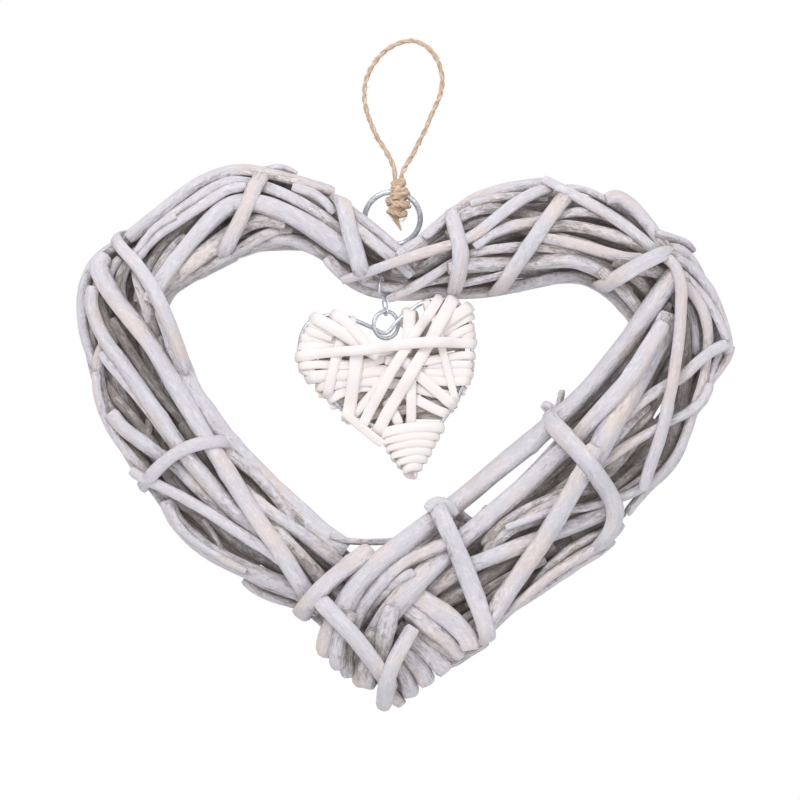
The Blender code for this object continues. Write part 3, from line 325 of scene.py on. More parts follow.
     ((606, 199), (618, 197), (632, 206), (646, 221), (658, 237), (668, 251))),
    # right shoulder and side
    ("shoulder_right_inner_a", "", 14, 14, 0.4, -0.30,
     ((600, 270), (616, 284), (630, 298), (643, 314), (654, 330))),
    ("shoulder_right_inner_b", "", 13, 12, 0.6, -0.25,
     ((622, 268), (637, 280), (650, 294), (662, 308))),
    ("shoulder_right_patch", "", 14, 12, 0.75, -0.08,
     ((636, 268), (652, 270), (667, 276), (680, 285))),
    ("shoulder_right_top", "", 10, 9, 0.3, -0.14,
     ((656, 233), (672, 238), (686, 243), (694, 250))),
    ("shoulder_right_cap", "", 12, 10, 0.5, 0.05,
     ((673, 247), (685, 253), (695, 265), (702, 278))),
    ("side_right_hidden_a", "", 12, 12, 0.5, -0.28,
     ((688, 300), (690, 322), (689, 345), (686, 370), (684, 396), (680, 420), (672, 445), (662, 466))),
    ("side_right_hidden_b", "", 11, 11, 0.3, -0.32,
     ((668, 420), (650, 434), (634, 446), (618, 458), (604, 472))),
    ("side_right_hidden_c", "", 10, 9, 0.5, -0.18,
     ((654, 452), (642, 464), (628, 476), (614, 488), (600, 498))),
    ("side_right_hidden_d", "", 8, 8, 0.6, -0.10,
     ((662, 462), (648, 473), (634, 484), (618, 494))),
    ("side_right_end_fill", "", 13, 13, 0.0, -0.2,
     ((726, 344), (719, 360), (711, 376), (703, 392))),
    ("side_right_end_a", "", 9, 8, 0.25, -0.10,
     ((732, 346), (727, 359), (719, 371), (710, 383), (704, 396))),
    ("side_right_end_b", "", 8, 8, 0.45, 0.0,
     ((724, 343), (717, 358), (711, 374), (707, 390))),
    ("side_right_fill_a", "", 16, 15, 0.2, -0.22,
     ((618, 404), (604, 424), (590, 444), (575, 464), (560, 484))),
    ("side_right_fill_b", "", 18, 18, 0.0, -0.28,
     ((652, 418), (630, 444), (608, 468), (590, 488), (570, 508))),
    ("side_right_fill_c", "", 18, 18, -0.1, -0.26,
     ((556, 548), (528, 564), (500, 584), (474, 602), (446, 618))),
    ("side_right_fill_d", "", 18, 16, -0.1, -0.24,
     ((560, 562), (530, 584), (502, 606), (478, 622), (462, 640))),
    ("side_right_fill_e", "", 16, 16, -0.1, -0.24,
     ((520, 530), (492, 552), (466, 574), (440, 592))),
    ("side_right_stub", "", 8, 8, 0.5, -0.1,
     ((562, 390), (560, 401), (556, 414))),
    ("side_right_stub_end", "", 11, 12, 0.55, -0.04,
     ((543, 404), (551, 410), (560, 418))),
    ("side_right_fill_f", "", 16, 16, -0.15, -0.24,
     ((440, 604), (458, 594), (478, 582), (500, 568), (520, 556))),
    ("side_right_fill_g", "", 14, 14, 0.1, -0.24,
     ((592, 434), (574, 451), (558, 467), (542, 482))),
    ("side_right_fill_h", "", 12, 12, 0.1, -0.24,
     ((602, 462), (582, 475), (563, 488), (545, 501))),
    ("side_right_fill_i", "", 12, 12, 0.2, -0.22,
     ((652, 411), (635, 427), (620, 441), (606, 454), (594, 466))),
    ("side_right_fill_j", "", 12, 12, 0.2, -0.22,
     ((624, 511), (607, 521), (590, 529), (572, 538))),
    ("side_right_fill_k", "", 12, 12, 0.0, -0.22,
     ((614, 527), (591, 541), (567, 556), (545, 570))),
    ("side_right_fill_l", "", 12, 12, 0.1, -0.22,
     ((648, 404), (632, 418), (618, 434), (604, 450))),
    ("side_right_low_edge", "", 11, 10, 0.15, -0.14,
     ((706, 398), (695, 410), (688, 424), (684, 440), (677, 456), (665, 472), (650, 486), (636, 501),
      (626, 514))),
    ("side_right_outer", "right_outer_rod", 12, 11, 0.25, -0.05,
     ((668, 254), (686, 264), (701, 279), (713, 297), (721, 318), (726, 338), (728, 354))),
    ("side_right_outer_second", "", 10, 9, 0.6, 0.05,
     ((680, 272), (692, 284), (706, 300), (717, 318), (726, 340))),
    ("side_right_pink", "", 9, 9, 0.6, -0.05,
     ((684, 296), (692, 314), (696, 334), (696, 354))),
    ("side_right_long", "right_side_long_rod", 12, 10, 0.85, 0.04,
     ((684, 284), (696, 298), (705, 316), (708, 338), (706, 360), (702, 384), (694, 408), (686, 434),
      (674, 458), (654, 480), (630, 494), (604, 502), (578, 509), (550, 517), (524, 525), (502, 534))),
    ("side_right_grey_band", "", 13, 12, 0.7, -0.10,
     ((668, 302), (652, 328), (633, 354), (612, 378), (590, 400), (570, 419), (552, 436))),
    ("side_right_slant", "right_side_slant_rod", 13, 13, 0.95, 0.04,
     ((727, 344), (712, 351), (698, 362), (684, 375), (666, 386), (648, 397), (630, 411), (612, 428),
      (598, 444))),
    ("side_right_thin", "right_side_thin_rod", 11, 11, 0.95, 0.04,
     ((710, 384), (702, 400), (688, 412), (670, 421), (652, 431), (634, 441), (616, 452), (600, 464),
      (586, 478))),
    ("side_right_core_low_a", "", 14, 13, 0.35, -0.30,
     ((590, 488), (566, 494), (544, 503), (522, 514), (502, 528), (484, 545))),
    ("side_right_core_low_b", "", 13, 12, 0.5, -0.14,
     ((560, 502), (540, 512), (520, 524), (502, 537), (486, 552))),
    ("side_right_core_low_c", "", 11, 10, 0.4, -0.22,
     ((546, 560), (524, 570), (504, 580), (484, 592), (466, 606))),
    ("side_right_core_low_d", "", 10, 9, 0.4, -0.28,
     ((520, 580), (500, 592), (482, 606), (466, 618), (448, 626))),
    ("lower_right_edge_a", "", 11, 10, 0.2, -0.12,
     ((614, 540), (598, 553), (578, 565), (556, 580), (534, 595), (512, 609), (496, 620))),
    ("lower_right_grey", "", 10, 9, 0.5, -0.20,
     ((612, 528), (590, 538), (570, 549), (552, 564), (538, 580), (526, 596))),
    ("lower_right_outer", "right_lower_outer_rod", 12, 12, 0.5, -0.02,
     ((622, 524), (606, 541), (586, 553), (566, 565), (546, 579), (526, 596), (508, 611), (492, 626),
      (478, 640))),
    ("side_right_lower", "right_lower_rod", 18, 19, 0.9, 0.05,
     ((622, 505), (602, 514), (580, 523), (556, 532), (530, 542), (505, 552), (480, 562), (455, 574),
      (438, 585), (422, 597))),
    ("side_right_bright_thin", "", 9, 8, 1.0, 0.06,
     ((624, 497), (604, 503), (580, 509), (552, 512), (528, 520), (506, 528))),
    ("tip_behind_thin", "", 7, 7, -0.2, -0.20,
     ((330, 536), (348, 541), (374, 542), (402, 540), (418, 534))),
    ("side_right_front", "right_side_front_rod", 25, 23, 1.1, 0.10,
     ((668, 312), (657, 341), (644, 368), (629, 394), (613, 421), (600, 446), (588, 466))),
    ("tip_bottom_grey", "", 11, 11, -0.3, -0.3,
     ((440, 668), (456, 661), (472, 651), (487, 642))),
    ("tip_fill_right_a", "", 20, 22, 0.0, -0.16,
     ((386, 640), (394, 660), (399, 680), (401, 694))),
    ("tip_fill_right_b", "", 20, 22, 0.05, -0.14,
     ((396, 630), (410, 650), (419, 668), (423, 680))),
    ("tip_fill_right_c", "", 20, 20, 0.1, -0.16,
     ((404, 616), (424, 637), (440, 653), (450, 662))),
    ("tip_right_last", "", 14, 15, 0.25, -0.03,
     ((374, 668), (384, 682), (393, 694), (402, 704))),
    ("tip_right_fourth", "", 18, 19, 0.35, 0.02,
     ((386, 650), (398, 664), (407, 680), (411, 695))),
    ("tip_right_third_b", "", 18, 19, 0.45, -0.02,
     ((392, 640), (406, 654), (419, 668), (427, 684))),
    ("tip_right_third", "tip_weave_right_3", 17, 19, 0.55, 0.02,
     ((398, 625), (415, 640), (431, 654), (446, 671))),
    ("tip_right_second_b", "", 14, 14, 0.6, -0.02,
     ((408, 618), (424, 633), (441, 646), (456, 657))),
    ("tip_right_second", "tip_weave_right_2", 16, 17, 0.7, 0.04,
     ((403, 607), (414, 615), (430, 628), (447, 641), (462, 656))),
    ("tip_right_first", "tip_weave_right_1", 19, 20, 0.85, 0.08,
     ((412, 594), (422, 601), (437, 611), (454, 624), (467, 638), (470, 650))),
    ("side_right_thick", "right_side_thick_rod", 16, 23, 0.95, 0.07,
     ((664, 322), (650, 345), (633, 373), (612, 398), (592, 420), (574, 440), (553, 459), (529, 481),
      (503, 504), (478, 525), (455, 545), (432, 566), (410, 588), (392, 609), (378, 630), (368, 650),
      (362, 672), (364, 684))),
    ("tip_between", "", 10, 9, 0.95, 0.0,
     ((414, 572), (400, 580), (385, 593), (371, 608), (358, 626), (352, 640))),
    ("tip_weave_second", "tip_weave_upper", 14, 17, 1.0, 0.06,
     ((452, 540), (434, 548), (412, 558), (393, 571), (376, 588), (362, 607), (352, 629), (346, 652),
      (347, 676))),
    ("side_right_inner", "right_inner_edge_rod", 20, 24, 1.0, 0.10,
     ((676, 272), (661, 293), (645, 316), (628, 340), (611, 362), (594, 383), (577, 401), (559, 418),
      (540, 435), (520, 452), (499, 469), (479, 485), (460, 500), (440, 515), (419, 531), (399, 546),
      (381, 560), (364, 577), (351, 595), (340, 615), (330, 635), (326, 655))),
    ("tip_right_bend", "", 14, 13, 1.0, 0.04,
     ((427, 510), (436, 503), (447, 506), (455, 515))),
    ("side_right_diagonal", "right_diagonal_rod", 20, 20, 1.3, 0.06,
     ((596, 446), (583, 472), (570, 495), (556, 519), (541, 543), (524, 568), (507, 593), (491, 618),
      (482, 634))),
    # tip
    ("tip_fill_left_a", "", 18, 18, 0.1, -0.14,
     ((350, 612), (341, 634), (338, 652), (338, 668))),
    ("tip_fill_left_b", "", 18, 20, 0.1, -0.12,
     ((376, 630), (371, 650), (368, 668), (368, 686))),
    ("tip_fill_middle", "", 20, 18, 0.2, -0.18,
     ((392, 606), (386, 628), (383, 650), (384, 672))),
    ("tip_left_over", "left_side_tip_rod", 18, 19, 1.0, 0.10,
     ((312, 593), (321, 602), (336, 618), (351, 634), (365, 651), (377, 667), (386, 681), (388, 692))),
    ("tip_end", "tip_weave_end", 17, 18, 1.0, 0.08,
     ((414, 627), (406, 640), (397, 656), (390, 672), (386, 688), (384, 707))),
    ("side_right_winding", "right_side_winding", 13, 14, 1.3, 0.05,
     ((664, 256), (675, 266), (681, 285), (681, 305), (680, 325), (678, 345), (675, 365), (672, 385),
      (668, 403), (664, 422), (659, 441), (653, 458), (648, 473), (643, 490))),
)

# Bindings, in the order that they were wound: the name, the solid, the width in pixels, its whitewash, how
# far it goes round the back, and its route over the front
BINDINGS = (
    ("lobe_left_band", "left_lobe_binding", 16, 0.03, 0.8,
     ((263, 167), (256, 184), (247, 205), (238, 225), (228, 245), (222, 258), (215, 270))),
    ("shoulder_left_band", "left_shoulder_binding", 15, 0.06, 0.8,
     ((108, 235), (126, 252), (141, 270), (154, 289), (164, 310), (173, 332), (182, 356), (193, 384))),
    ("side_left_band", "left_side_binding", 15, 0.05, 0.8,
     ((137, 494), (150, 477), (162, 464), (175, 453), (190, 446), (205, 442), (220, 441), (234, 444))),
    ("cleft_left_band", "left_cleft_binding", 18, 0.04, 0.8,
     ((341, 193), (346, 212), (349, 230), (354, 248), (360, 265), (365, 288))),
    ("cleft_right_band", "right_cleft_binding", 17, 0.04, 0.8,
     ((449, 202), (453, 220), (458, 238), (462, 250), (460, 264), (457, 280), (454, 299))),
    ("lobe_right_band", "right_lobe_binding", 17, 0.04, 0.8,
     ((570, 189), (556, 208), (545, 222), (535, 238), (525, 252), (512, 270), (502, 285), (493, 301))),
    ("shoulder_right_band", "right_shoulder_binding", 17, 0.05, 0.8,
     ((592, 292), (612, 281), (630, 270), (648, 260), (665, 252), (686, 246))),
    ("tip_left_band", "left_tip_binding", 19, 0.06, 0.75,
     ((378, 543), (357, 559), (341, 571), (326, 583), (312, 597), (302, 611), (292, 627))),
    ("tip_right_band", "right_tip_binding", 19, 0.08, 0.75,
     ((432, 499), (441, 515), (448, 530), (455, 546), (462, 562), (469, 580), (476, 598), (482, 616),
      (487, 634), (491, 650))),
    ("side_right_band", "right_side_binding", 19, 0.08, 0.75,
     ((541, 406), (552, 421), (566, 436), (579, 450), (591, 465), (601, 479), (611, 494), (618, 508),
      (616, 524), (606, 541), (594, 554))),
)

# Small heart, rings, link and twine, as in the part's source
RING_RADIUS = 0.0111
RING_WIRE = 0.0011
RING_TILT = math.radians(20)
RING_PLACE = (-0.0062, 0.0, -0.0710)
TWINE_RADIUS = 0.0010
TWINE_ROUTE = ((-0.089, 1.000), (-0.098, 0.892), (-0.147, 0.787), (-0.220, 0.664), (-0.285, 0.507),
               (-0.304, 0.385), (-0.290, 0.266), (-0.229, 0.147), (-0.136, 0.052), (0.000, 0.000),
               (0.105, 0.024), (0.189, 0.105), (0.236, 0.231), (0.229, 0.360), (0.171, 0.503),
               (0.108, 0.647), (0.038, 0.787), (-0.035, 0.913), (-0.047, 1.000))
TWINE_PITCH = 0.0082
TWINE_STEP = 0.0006
TWINE_PLY = 0.00062
TWINE_HIDDEN = 0.0003        # how far the loop reaches into the knot
KNOT_TOP = -0.0575
KNOT_PLACE = -0.0039         # how far across it is
KNOT_HEIGHT = 0.0118
KNOT_TAIL = 0.0066
# The knot's wraps: how far below its top, half width, half depth, slant, and where round the knot each starts
KNOT_WRAPS = ((-0.0012, 0.0021, 0.0014, 0.0010, 0.9), (0.0006, 0.0021, 0.0016, 0.0014, 3.4),
              (0.0034, 0.0027, 0.0024, 0.0018, 0.4), (0.0054, 0.0036, 0.0030, 0.0024, 1.4),
              (0.0072, 0.0040, 0.0033, -0.0012, 2.6), (0.0090, 0.0037, 0.0030, 0.0016, 4.0),
              (0.0108, 0.0029, 0.0026, -0.0010, 5.2))
KNOT_STEP = 0.0005
KNOT_CORE = (0.0026, 1.6, 3, 0.0015, 10)       # radius, twists, plies, ply radius and sides
KNOT_WRAP = (0.00125, 3.2, 2, 0.00078, 8)
KNOT_FALL = (0, 0.004, 0.007, KNOT_HEIGHT, KNOT_HEIGHT + KNOT_TAIL)
KNOT_WIDTHS = (0.0018, 0.003, 0.0044, 0.0026, 0.0006)      # half widths this far below its top
TAIL_STRANDS = ((0.0, 1.0), (0.6, 0.92), (1.2, 0.8))       # how far each bends aside, and its length
TAIL_STEP = 0.0004
TAIL_RADIUS = 0.00105
LOOP_HAIRS = 420
KNOT_HAIRS = 260
HAIR_RADIUS = 0.00006
HAIR_BEND = 0.6
HEART_WIRE = 0.0008
HEART_WIRE_POINTS = 34       # rings of corners in its solid
HEART_RING_RADIUS = 0.0054
HEART_RING_WIRE = 0.0008
HEART_RING_TURN = math.radians(27)
HEART_RING_PLACE = (-0.0088, -0.0090, -0.1137)
HEART_DROP = 0.00065         # how much lower the small heart hangs than in the photograph
LINK_WIRE = 0.0005
LINK_TWISTS = 2.5
LINK_REACH = 0.00058         # from the link's middle to each of its two strands
LINK_STEP = 0.00035
LINK_CREST = 0.0012          # the height of the solid's part that lies over the cleft's rod
LINK_STEM = 0.0016           # how far above the ring's top the twisting starts
STRIP_STEP = 0.0011
STRIP_THICKNESS = 0.36
STRIP_LEVEL = 0.0011         # how far in front of the heart's plane the strips lie at least, and at most
STRIP_LIMIT = 0.0085
STRIP_TURN = 0.6             # how far a wrapped end turns from its way, in radians
BACK_STRIP_LEVEL = 0.0009
BACK_STRIP_LIMIT = 0.0045
BACK_STRIP_WIDTHS = (10, 13)
# The back strips' darker tone, where they show through the small heart's gaps, is painted shade
BACK_STRIP_TONE = -0.34
WRAP_INSET = 0.0018          # how far before the end of its route a strip turns round the wire
WRAP_BULGE = 0.0012
WRAP_THICKNESS = 0.0028
WRAP_BEHIND = 0.0030
WRAP_LENGTHS = (0.003, 0.007)
COIL_TURNS = 6.6
COIL_TURN_POINTS = 60
COIL_START = 3               # in pixels, as the next four are
COIL_INSET = 2.5
COIL_SLOPES = (3.5, 1.5)
COIL_DEPTH = (3.5, 0.20)     # half depth, and what a pixel of half width adds to it
COIL_HALF_WIDTH = 5.8        # of the strip that it is wound from
COIL_THICKNESS = 0.34
COIL_TONE = 0.08
COIL_TAPER = 14              # points over which it narrows at its end

# Strips of the small heart, from the deepest to the topmost: the name, the solid, the width in pixels, its
# whitewash, whether each end is wrapped round the wire, and its route
HEART_STRIPS = (
    ("fan_left_top", "", 9, -0.10, 1, 0, ((313, 323), (326, 330), (342, 338), (352, 344))),
    ("fan_left_low", "", 10, -0.12, 1, 0, ((300, 366), (322, 376), (342, 384), (360, 388))),
    ("row_left_7", "", 11, -0.05, 1, 0, ((327, 399), (342, 391), (358, 386), (376, 385))),
    ("row_left_6", "", 11, -0.02, 1, 1,
     ((315, 386), (334, 383), (352, 380), (376, 380), (400, 383), (425, 388), (452, 395), (461, 396))),
    ("row_left_5", "", 12, 0.0, 1, 1,
     ((305, 376), (326, 374), (350, 373), (376, 370), (400, 370), (430, 371), (456, 372), (473, 372))),
    ("row_left_4", "", 10, -0.06, 1, 0,
     ((298, 365), (320, 363), (344, 364), (365, 362), (388, 356), (402, 352))),
    ("row_right_3", "", 9, -0.06, 0, 1, ((426, 364), (444, 363), (460, 363), (474, 363))),
    ("row_right_2", "", 10, -0.02, 0, 1,
     ((384, 359), (404, 361), (423, 360), (446, 356), (462, 354), (476, 354))),
    ("row_right_6", "", 10, -0.05, 0, 1, ((424, 378), (440, 380), (456, 380), (471, 379))),
    ("row_top_1", "", 10, 0.02, 1, 0, ((299, 337), (318, 337), (338, 340), (356, 346), (372, 351))),
    ("row_top_2", "", 10, 0.0, 1, 1,
     ((297, 346), (318, 346), (345, 348), (380, 350), (408, 343), (444, 337), (462, 334), (476, 333))),
    ("low_slant_deep", "", 10, -0.14, 0, 1, ((404, 392), (420, 400), (436, 408), (450, 413))),
    ("low_stub", "", 10, -0.10, 0, 0, ((385, 398), (393, 410), (400, 424))),
    ("tan_slant", "", 10, -0.12, 0, 1, ((392, 366), (376, 388), (362, 404), (350, 416))),
    ("top_piece", "", 10, -0.04, 1, 0, ((350, 314), (353, 326), (358, 342))),
    ("down_far_left", "", 10, 0.0, 1, 1, ((345, 322), (341, 340), (335, 362), (330, 382), (327, 398))),
    ("down_ring_right", "", 14, 0.04, 1, 0, ((409, 307), (409, 322), (408, 338), (404, 352))),
    ("down_top_thin", "", 10, 0.0, 1, 0, ((426, 298), (430, 310), (436, 324), (440, 336))),
    ("fan_left_edge", "", 10, -0.02, 1, 0, ((303, 330), (318, 332), (334, 337))),
    ("fan_left_edge_top", "", 9, 0.0, 1, 0, ((307, 321), (321, 325), (337, 333))),
    ("slant_left_a", "", 13, 0.04, 1, 0,
     ((310, 315), (325, 322), (340, 331), (353, 340), (366, 348), (380, 355))),
    ("slant_left_b", "", 12, 0.0, 1, 0, ((330, 312), (344, 319), (355, 330), (366, 343), (378, 356))),
    ("slant_right_low", "heart_wrap_slant", 11, 0.02, 0, 1,
     ((402, 358), (416, 372), (432, 386), (446, 398), (456, 406))),
    ("fan_right_low", "", 9, 0.0, 0, 1, ((444, 339), (456, 333), (466, 328), (475, 325))),
    ("fan_right_middle", "", 10, 0.02, 0, 1, ((440, 334), (452, 325), (464, 318), (474, 313))),
    ("fan_right_top", "", 13, 0.06, 0, 1, ((433, 333), (442, 324), (455, 315), (466, 308), (472, 304))),
    ("down_left", "heart_wrap_down", 13, 0.08, 0, 1,
     ((357, 344), (356, 362), (353, 384), (350, 404), (347, 421))),
    ("down_middle", "", 11, 0.02, 0, 0, ((411, 376), (411, 392), (411, 408), (411, 426))),
    ("down_right_thin", "", 8, 0.06, 1, 1,
     ((424, 297), (430, 308), (437, 325), (441, 345), (446, 364), (451, 383), (456, 402))),
    ("slant_long_a", "", 12, 0.08, 1, 1,
     ((441, 294), (430, 311), (417, 330), (403, 352), (391, 371), (380, 391), (369, 411), (360, 429))),
    ("slant_long_b", "", 13, 0.10, 1, 1,
     ((455, 295), (446, 310), (436, 328), (424, 350), (411, 372), (399, 392), (387, 412), (376, 434))),
    ("band_across", "heart_wrap_across", 11, 0.10, 1, 1,
     ((295, 356), (316, 353), (340, 351), (365, 349), (390, 345), (415, 342), (440, 341), (460, 342),
      (477, 343))),
    ("edge_low_left", "", 9, 0.05, 0, 0, ((343, 409), (353, 418), (365, 428), (376, 437), (384, 443))),
)
HEART_BACKS = (
    ((300, 345), (340, 352), (400, 358), (440, 362), (474, 366)),
    ((304, 374), (350, 366), (420, 350), (474, 340)),
    ((318, 392), (360, 380), (420, 372), (470, 378)),
    ((330, 404), (380, 392), (440, 384), (466, 390)),
    ((345, 418), (390, 410), (430, 404), (457, 402)),
    ((312, 320), (350, 340), (400, 372), (450, 408)),
    ((340, 316), (356, 350), (372, 392), (384, 430)),
    ((444, 300), (420, 336), (392, 380), (366, 426)),
    ((468, 312), (440, 350), (410, 392), (390, 430)),
    ((412, 310), (416, 350), (414, 390), (410, 426)),
    ((304, 340), (326, 336), (346, 336), (356, 340)),
    ((410, 330), (436, 326), (470, 322)),
    ((326, 318), (324, 350), (328, 384)),
    ((456, 302), (460, 340), (456, 380)),
    ((398, 410), (420, 412), (446, 413)),
    ((420, 396), (438, 404), (454, 406)),
    ((372, 412), (392, 418), (416, 420)),
)
# The coil at the small heart's tip: pixels down, and its left and right edge there
COIL_SHAPE = ((421, 381, 448), (428, 380.5, 445), (436, 381.5, 440), (444, 384.5, 435.5), (452, 389, 431.5),
              (460, 395, 426.5), (467, 401, 421.5), (472, 406, 418))


# Lines and frames

def run_of(line):
    """The running length at each point of a line."""
    return np.concatenate([[0.0], np.cumsum(np.linalg.norm(np.diff(line, axis=0), axis=1))])


def unit(vectors):
    """The vectors again, each one long."""
    return vectors / np.maximum(np.linalg.norm(vectors, axis=-1, keepdims=True), 1e-12)


def eased(rows, straight=False):
    """The rows again, each evened out with its neighbours. The ends stay, or run on straight."""
    first, last = rows[:1], rows[-1:]
    if straight:
        first, last = 2 * first - rows[1:2], 2 * last - rows[-2:-1]
    padded = np.concatenate([first, rows, last])
    return 0.25 * padded[:-2] + 0.5 * padded[1:-1] + 0.25 * padded[2:]


def smooth(points, step, closed=False):
    """A smooth curve through the points, at even steps."""
    route = np.array(points, float)
    if closed:
        padded = np.vstack([route[-1], route, route[:2]])
    else:
        padded = np.vstack([2 * route[0] - route[1], route, 2 * route[-1] - route[-2]])
    share = np.linspace(0.0, 1.0, 16, endpoint=False)[:, None]
    spans = []
    for before, start, end, after in zip(padded, padded[1:], padded[2:], padded[3:]):
        cubic = 3 * (start - end) + after - before
        square = 2 * before - 5 * start + 4 * end - after
        spans.append(0.5 * (2 * start + (end - before) * share + square * share ** 2 + cubic * share ** 3))
    line = np.vstack(spans + [route[:1] if closed else route[-1:]])
    run = run_of(line[:, :3])
    count = max(4, int(round(run[-1] / step)) + 1)
    marks = np.linspace(0.0, run[-1], count)
    even = np.column_stack([np.interp(marks, run, line[:, axis]) for axis in range(line.shape[1])])
    return even[:-1] if closed else even


def frames_of(line, closed=False):
    """Two directions across a line at each point, which turn as little as they can."""
    if closed:
        ahead = unit(np.roll(line, -1, axis=0) - np.roll(line, 1, axis=0))
    else:
        ahead = unit(np.gradient(line, axis=0))
    first = np.cross(ahead[0], (0.0, 1.0, 0.0))
    if np.linalg.norm(first) < 0.1:
        first = np.cross(ahead[0], (0.0, 0.0, 1.0))
    across = np.zeros_like(line)
    across[0] = unit(first)
    for number in range(1, len(line)):
        turned = across[number - 1] - ahead[number] * (across[number - 1] @ ahead[number])
        across[number] = unit(turned)
    upward = np.cross(ahead, across)
    if closed:
        last = across[-1] - ahead[0] * (across[-1] @ ahead[0])
        slip = math.atan2(last @ upward[0], last @ across[0])
        turn = -slip * np.arange(len(line)) / len(line)
        across, upward = (across * np.cos(turn)[:, None] + upward * np.sin(turn)[:, None],
                          upward * np.cos(turn)[:, None] - across * np.sin(turn)[:, None])
    return across, upward


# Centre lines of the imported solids

def welded(name):
    """A node's corners, each once, and its triangles."""
    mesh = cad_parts[name].data
    places = np.array([corner.co for corner in mesh.vertices], float)
    keys = np.round(places * 1e6).astype(int)
    _, first, back = np.unique(keys, axis=0, return_index=True, return_inverse=True)
    faces = back.ravel()[np.array([face.vertices[:] for face in mesh.polygons])]
    return places[first], faces


def end_ring(places, faces, sides):
    """The corners of one flat end of a swept solid."""
    first, second, third = [places[faces[:, corner]] for corner in range(3)]
    normals = unit(np.cross(second - first, third - first))
    beside = {}
    for number, face in enumerate(faces):
        for start, end in zip(face, np.roll(face, -1)):
            beside.setdefault((min(start, end), max(start, end)), []).append(number)
    group = list(range(len(faces)))

    def head(number):
        while group[number] != number:
            number = group[number]
        return number

    for pair in beside.values():
        if normals[pair[0]] @ normals[pair[1]] > 0.9995:
            group[head(pair[0])] = head(pair[1])
    heads = [head(number) for number in range(len(faces))]
    for chosen in sorted(set(heads)):
        members = {number for number in range(len(faces)) if heads[number] == chosen}
        if len(members) != sides - 2:
            continue
        rim = [pair for pair in beside.values() if (pair[0] in members) != (pair[1] in members)]
        if all(normals[pair[0]] @ normals[pair[1]] < 0.5 for pair in rim):
            return sorted({corner for number in members for corner in faces[number]})
    raise ValueError("no flat end found")


def rings_of(name, sides):
    """The rings of corners of a swept solid, from one end to the other."""
    places, faces = welded(name)
    near = [set() for _ in places]
    for face in faces:
        for corner in face:
            near[corner].update(face)
    level = end_ring(places, faces, sides)
    seen = set(level)
    rings = []
    while level:
        rings.append(places[level])
        level = sorted({other for corner in level for other in near[corner]} - seen)
        seen.update(level)
    if any(len(ring) != sides for ring in rings):
        raise ValueError(f"{name}: its rings aren't {sides} corners each")
    return np.array(rings)


def solid_line(name):
    """The middle line of a rod's solid, with the radius as a fourth column."""
    rings = rings_of(name, 6)
    middles = rings.mean(axis=1)
    radii = np.linalg.norm(rings - middles[:, None], axis=2).mean(axis=1)
    return np.column_stack([middles, radii])


# Places on the wreath

def at(across, down):
    """The point in the wreath's plane that the photograph shows at a pixel."""
    return ((across - ORIGIN_PIXEL[0]) * PIXEL, 0.0, (ORIGIN_PIXEL[1] - down) * PIXEL)


def on_wreath(share):
    """A point in the wreath's plane, from its shares of the width and height."""
    return WREATH_SHIFT + share[0] * WREATH_WIDTH, -WREATH_DROP - share[1] * WREATH_HEIGHT


def heart_line():
    """The middle line from the tip up the left side and down the right side to the tip, with its stations."""
    left, right = [smooth([on_wreath(share) + (0.0,) for share in shares], 0.001)[:, :2]
                   for shares in (LEFT_LINE, RIGHT_LINE)]
    left_run, right_run = run_of(left), run_of(right)
    line = np.vstack([left[::-1], right[1:]])
    return line, np.concatenate([-100 * left_run[::-1] / left_run[-1], 100 * right_run[1:] / right_run[-1]])


HEART_LINE, HEART_STATIONS = heart_line()


def side(station, angle, lift=0.0):
    """A point on the heart's bundle: 0 degrees in front, 90 outward, -90 inward and 180 behind."""
    middle, ahead, back = [[np.interp(station + step, HEART_STATIONS, HEART_LINE[:, axis]) for axis in (0, 1)]
                           for step in (0, 1.5, -1.5)]
    way = Vector((ahead[0] - back[0], ahead[1] - back[1])).normalized()
    turn = math.radians(angle)
    reach = BUNDLE_HALF_WIDTH * np.interp(station, *zip(*(OUTWARD if math.sin(turn) > 0 else INWARD)))
    aside = (reach + lift * LAYER) * math.sin(turn)
    front = (BUNDLE_HALF_DEPTH + lift * LAYER) * math.cos(turn)
    return middle[0] - way.y * aside, -front, middle[1] + way.x * aside


# Meshes

def add_object(name, data):
    """A new object in the scene."""
    made = bpy.data.objects.new(name, data)
    bpy.context.scene.collection.objects.link(made)
    return made


def make_piece(name, mesh, material, replaces):
    """A finished piece of the object, which rides on its one body."""
    piece = add_object(name, mesh)
    mesh.materials.append(material)
    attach(piece, "root")
    if replaces:
        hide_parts(*replaces)
    return piece


def quads_of(count, sides, closed=False):
    """The four-sided faces over a number of rings."""
    ring = np.arange(count if closed else count - 1)[:, None] * sides
    beside = np.arange(sides)[None, :]
    following = (ring + sides) % (count * sides)
    return np.stack([ring + beside, ring + (beside + 1) % sides, following + (beside + 1) % sides,
                     following + beside], axis=-1).reshape(-1, 4)


def skin(name, rings, closed=False):
    """A mesh over rings of points, with its ends closed by fans."""
    count, sides = rings.shape[:2]
    corners = rings.reshape(-1, 3)
    faces = [tuple(face) for face in quads_of(count, sides, closed).tolist()]
    last = (count - 1) * sides
    if not closed:
        start, end = len(corners), len(corners) + 1
        corners = np.vstack([corners, rings[0].mean(axis=0), rings[-1].mean(axis=0)])
        for number in range(sides):
            after = (number + 1) % sides
            faces += [(start, after, number), (end, last + number, last + after)]
    mesh = bpy.data.meshes.new(name)
    mesh.from_pydata(corners.tolist(), [], faces)
    mesh.polygons.foreach_set("use_smooth", [True] * len(mesh.polygons))
    if not closed:
        rims = {tuple(sorted((base + number, base + (number + 1) % sides)))
                for base in (0, last) for number in range(sides)}
        sharp = mesh.attributes.new("sharp_edge", "BOOLEAN", "EDGE")
        sharp.data.foreach_set("value", [tuple(sorted(edge.vertices)) in rims for edge in mesh.edges])
    return mesh


